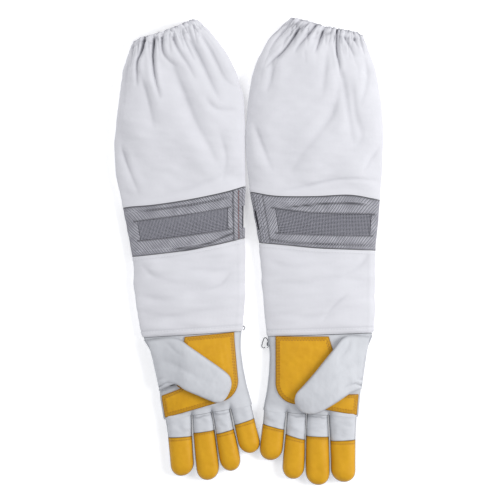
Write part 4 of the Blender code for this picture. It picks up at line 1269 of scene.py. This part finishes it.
def makeThumb(side):
    glove, size = gloves[side], thumbSizes
    root = tuple(
        (handEdge(v) + size["rootOut"], v) for v in (size["root"][0], size["root"][1] + glove["armRise"])
    )
    stations = [((root[0][0] + 0.6, -1.4), root[1], size["rise"] / size["thick"])]
    stations += thumbStations[side]
    knots = np.array([[*p, *q, share] for p, q, share in stations])
    found = smoothPath(knots, 14)

    def surface(upper, first):
        rows = found[first:]
        x = -np.cos(np.linspace(0, math.pi, thumb["steps"]))
        points, paintedShade = [], []
        for k, (pu, pv, qu, qv, share) in enumerate(rows):
            thick = size["thick"] * 0.86 * max(0.14, share)
            seam = max(1.8, thick * seamShare)
            edge = seam + (0.25 if upper else -0.25)
            if upper:
                z = seam + 1.2 + max(0, thick - seam - 1.2) * np.maximum(0, 1 - np.abs(x) ** 5) ** 0.5
            else:
                z = (seam - 1.2) * (1 - np.minimum(1, 1.3 * crown(x)))
            end = max(0, (k - len(rows) + 8) / 7)  # the last rows close the tip
            z = z * (1 - end**2) + edge * end**2
            across = np.concatenate([[0], (x + 1) / 2, [1]])
            z = np.concatenate([[edge], z, [edge]])
            u, v = pu + (qu - pu) * across, pv + (qv - pv) * across
            points.append(np.stack([u, v, handTop(u, v) + size["clear"] + z], -1))
            # painted shade along both sides, where the thumb rolls under
            paintedShade.append(0.45 * np.clip(np.abs(2 * across - 1) - 0.9, 0, 0.1) / 0.1)
        return np.array(points), np.array(paintedShade)

    local, paintedShade = surface(True, 0)
    u, v = local[..., 0], local[..., 1]
    height, dark = creased(u, v, thumbFolds[side])
    calm = np.minimum(1, np.minimum(np.arange(local.shape[1]), np.arange(local.shape[1])[::-1])[None] / 6)
    amount = (
        (height + 0.35 * wander(u, v, 24, glove["seed"] + 61) + 0.14 * wander(u, v, 7, glove["seed"] + 62))
        * calm
    )
    points = pushed(placed(side, local, "handLean"), amount)
    # painted shade at the sides and in the creases
    outer = loft(
        f"{side}ThumbOuter", points, whiteLeather, wall=handSizes["leather"], shade=paintedShade + dark * calm,
    )
    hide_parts(f"{side}_thumb_outer")
    local, paintedShade = surface(False, 14)
    under = loft(
        f"{side}ThumbUnder", placed(side, local, "handLean"), whiteLeather, up=-1, wall=1.0, shade=paintedShade,
    )
    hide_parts(f"{side}_thumb_under")
    joint = joints[f"{side}_thumb_root"]
    inward = Vector(joint["axis"]).cross(Vector((0, 0, 1))).normalized()
    if inward.x * glove["side"] > 0:
        inward = -inward
    bend(outer)
    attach(under, f"{side}_thumb")
    print(side, "thumb made")


# Fingers
finger = {"steps": 22, "round": 15.0, "bend": 15}


def makeFinger(side, name):
    glove, size = gloves[side], fingers[name]
    slant = math.radians(handSizes["knuckleSlant"])
    root = np.array([
        handSizes["knuckleShift"] + size["at"] * math.cos(slant),
        -handSizes["length"] - size["at"] * math.sin(slant),
    ])
    tip = np.array(glove["tips"][name])
    length = float(np.linalg.norm(tip - root))
    along = (tip - root) / length
    stall = size["stall"] - glove["trim"][name]
    extra = math.tan(math.radians(glove["seamSlant"][name] - handSizes["knuckleSlant"]))
    widths = [
        (0, size["root"]), (stall, size["seam"]), ((stall + length) / 2, size["full"]),
        (length, size["full"]),
    ]
    seed = glove["seed"] + 100 + 7 * list(fingers).index(name)

    def ring(s, x, over, share, shear, flatten):
        half = eased(s, widths, 1, 5) / 2 * share
        thick = handSizes["knuckleThick"]
        seam = seamShare * thick
        low = seam + 1.2
        flat = np.maximum(0, 1 - np.abs(x) ** 3.2) ** 0.6
        z = np.where(over, low + (thick - low) * flat, (seam - 1.2) * (1 - np.minimum(1, 1.3 * flat)))
        z = seam + (z - seam) * flatten
        reach = s + extra * x * half * shear
        u = root[0] + along[0] * reach + half * math.cos(slant) * x
        v = root[1] + along[1] * reach - half * math.sin(slant) * x
        return np.stack(np.broadcast_arrays(u, v, z), -1)

    def word(text):
        return f"{side}{name.capitalize()}{text}"

    def node(text):
        return f"{side}_{name}_{text}"

    x, over = ringSpread(finger["steps"])
    s = np.linspace(-0.2 if name in ("index", "little") else 0.1, stall - 0.2, 22)[:, None]
    local = ring(s, x[None], over[None], 1.0, np.clip(s / stall, 0, 1), 1.0)
    u, v = local[..., 0], local[..., 1]
    across = np.where(over[None], crown(x)[None], 0) + 0 * s
    sag = 0.9 * hump(s - stall * 0.55, stall * 0.3) * wander(u, v, 17, seed)
    sag += 0.35 * wander(u * 0.5, v, 6, seed + 1) - (
        0.6 if name in ("middle", "ring") else 0.0
    ) * hump(s, 1.2)
    crease = (
        0.9 * hump(s - 3.0 - 1.2 * wander(u, v, 14, seed + 5), 1.0) if name in ("middle", "ring") else 0 * s
    )
    amount = np.where(over[None], (sag - crease) * across, np.abs(sag) * -0.3)
    points = laidShell(side, local, amount, "handLean")
    # painted shade on the stall's sides, where shade falls between the fingers, in the knuckle crease and
    # at the seam
    shade = (
        1.1 * np.clip(1 - crown(x) / 0.5, 0, 1)[None] ** 1.1 + 0.5 * crease * across
        + 0.35 * hump(stall - s, 0.7)
    )
    base = loft(word("Stall"), points, whiteLeather, closed=True, wall=handSizes["leather"], shade=shade)
    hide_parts(node("stall"))
    pieces = [(base, "base")]
    halves = {}
    q = np.sin(np.linspace(0, math.pi / 2, 15))[1:]
    reach = np.concatenate([
        np.linspace(stall + 0.25, length - finger["round"], 20),
        length - finger["round"] * (1 - q * 0.999),
    ])
    share = np.concatenate([np.ones(20), np.maximum(0.02, 1 - q**2.3) ** 0.5])
    flatten = np.concatenate([np.ones(20), np.maximum(0.0, 1 - q**2.6) ** 0.42])
    flatten[-1] = 0
    theta = -np.cos(np.linspace(0, math.pi, finger["steps"] + 4))
    for upper in (True, False):
        xs = np.concatenate([[-1], theta, [1]])
        s2 = reach[:, None]
        fade = np.clip(1 - (s2 - stall) / 13, 0, 1)
        local = ring(s2, xs[None], np.full(len(xs), upper)[None], share[:, None], fade, flatten[:, None])
        gap = 0.25 if upper else -0.25
        seamZ = seamShare * handSizes["knuckleThick"] + gap
        local[:, 0, 2] = local[:, -1, 2] = seamZ
        local[-1, :, 2] = seamZ
        u, v = local[..., 0], local[..., 1]
        c = crown(xs)[None]
        if upper:
            dent = 0.5 * wander(u, v * 0.6, 20, seed + 2) + 0.15 * wander(u, v, 6, seed + 3)
            dent -= 0.35 * hump(s2 - stall - 3.2, 0.9)
            points = pushed(
                placed(side, local, "handLean"), dent * c * np.minimum(1, flatten[:, None] * 1.5),
            )
            # painted shade on the tip's sides and rounded end, at its seam with the stall and in the stitch
            # groove
            rim = np.clip(1 - c / 0.5, 0, 1) ** 1.3 + 0 * s2
            shade = 0.8 * rim + 0.7 * hump(s2 - stall, 0.9) + 0.8 * (1 - flatten[:, None]) ** 1.5
            shade += 0.35 * hump(s2 - stall - 3.2, 0.9)
            made = loft(word("Tip"), points, yellowLeather, wall=handSizes["leather"], shade=shade)
            row = points[int(np.argmin(np.abs(reach - stall - 3.2)))]
            out = towards(normals(points), 1)[int(np.argmin(np.abs(reach - stall - 3.2)))]
            seam = stitchRow(
                word("SeamStitches"), row[3:-3], out[3:-3], goldThread,
                {"length": 1.9, "gap": 0.9, "width": 0.6, "height": 0.34},
            )
            pieces.append((seam, "tip"))
        else:
            points = placed(side, local, "handLean")
            # painted shade at the back's sides
            made = loft(
                word("Back"), points, whiteLeather, up=-1, wall=handSizes["leather"],
                shade=0.4 * np.clip(1 - c / 0.5, 0, 1) + 0 * s2,
            )
        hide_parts(node("tip" if upper else "back"))
        pieces.append((made, "tip"))
        halves[upper] = points
    rim = np.concatenate([halves[True][:, 0], halves[True][::-1, -1]])
    rim[:, 2] = seamShare * handSizes["knuckleThick"] * mm
    keep = [0]
    for k in range(1, len(rim)):
        if np.linalg.norm(rim[k] - rim[keep[-1]]) > 0.7 * mm:
            keep.append(k)
    pieces.append((tube(word("Welt"), rim[keep], 0.55, whiteLeather), "tip"))
    for piece, kind in pieces:
        if kind == "base":
            bend(
                piece,
            )
        else:
            bend(
                piece,
            )


for side in gloves:
    makeSleeves(side)
    makePalmAndBack(side)
    makePatch(side)
    makeThumb(side)
    for name in fingers:
        makeFinger(side, name)
    print(side, "hand made")

for node in ("left_pair_hook", "left_hook_tab", "right_pair_eye"):
    shown = frame["nodes"][node]
    for place in range(len(shown.material_slots)):
        shown.material_slots[place].material = steel

# Floor, light and camera
studio = {
    "floor": "#FBFBFC", "floorLevel": -0.0005, "key": 21.5, "keyPlace": (1.45, 0.15, 1.15), "keySize": 0.9,
    "fill": 12.0, "fillPlace": (-0.9, 0.9, 1.6), "fillSize": 1.4, "sky": 0.52, "glow": 0.28,
    "cameraPlace": (0.0048, 0.0006), "cameraHeight": 1.603, "lens": 100.0,
}
bpy.ops.mesh.primitive_plane_add(size=8, location=(0, 0, studio["floorLevel"]))
floor = bpy.context.object
floor.name = "floor"
paper, tree, shader = startMaterial("whitePaperSweep", 0.9)
place = addNode(tree, "ShaderNodeTexCoord").outputs["Object"]
mottle = addNode(tree, "ShaderNodeTexNoise", {}, {"Scale": 3.0}, {"Vector": place}).outputs["Fac"]
tree.links.new(between(tree, mottle, "#F6F6F7", studio["floor"]), shader.inputs["Base Color"])
shader.inputs["Emission Color"].default_value = linear("#FFFFFF")  # lit from below like a light table
shader.inputs["Emission Strength"].default_value = studio["glow"]
floor.data.materials.append(paper)

world = bpy.data.worlds.new("softSky")
bpy.context.scene.world = world
world.use_nodes = True
world.node_tree.nodes["Background"].inputs["Color"].default_value = linear("#FAFBFF")
world.node_tree.nodes["Background"].inputs["Strength"].default_value = studio["sky"]


def lamp(name, place, target, size, power):
    light = bpy.data.lights.new(name, "AREA")
    light.shape = "DISK"
    light.size = size
    light.energy = power
    made = linked(name, light)
    made.location = place
    made.rotation_euler = (Vector(target) - Vector(place)).to_track_quat("-Z", "Y").to_euler()


lamp("keyLight", studio["keyPlace"], (0, 0, 0), studio["keySize"], studio["key"])
lamp("fillLight", studio["fillPlace"], (0, 0, 0), studio["fillSize"], studio["fill"])

eye = bpy.data.cameras.new("camera")
eye.lens = studio["lens"]
eye.clip_end = 20
watcher = linked("camera", eye)
watcher.location = (*studio["cameraPlace"], studio["cameraHeight"])
bpy.context.scene.camera = watcher
bpy.context.scene.view_settings.view_transform = "Standard"
print("floor, light and camera made")
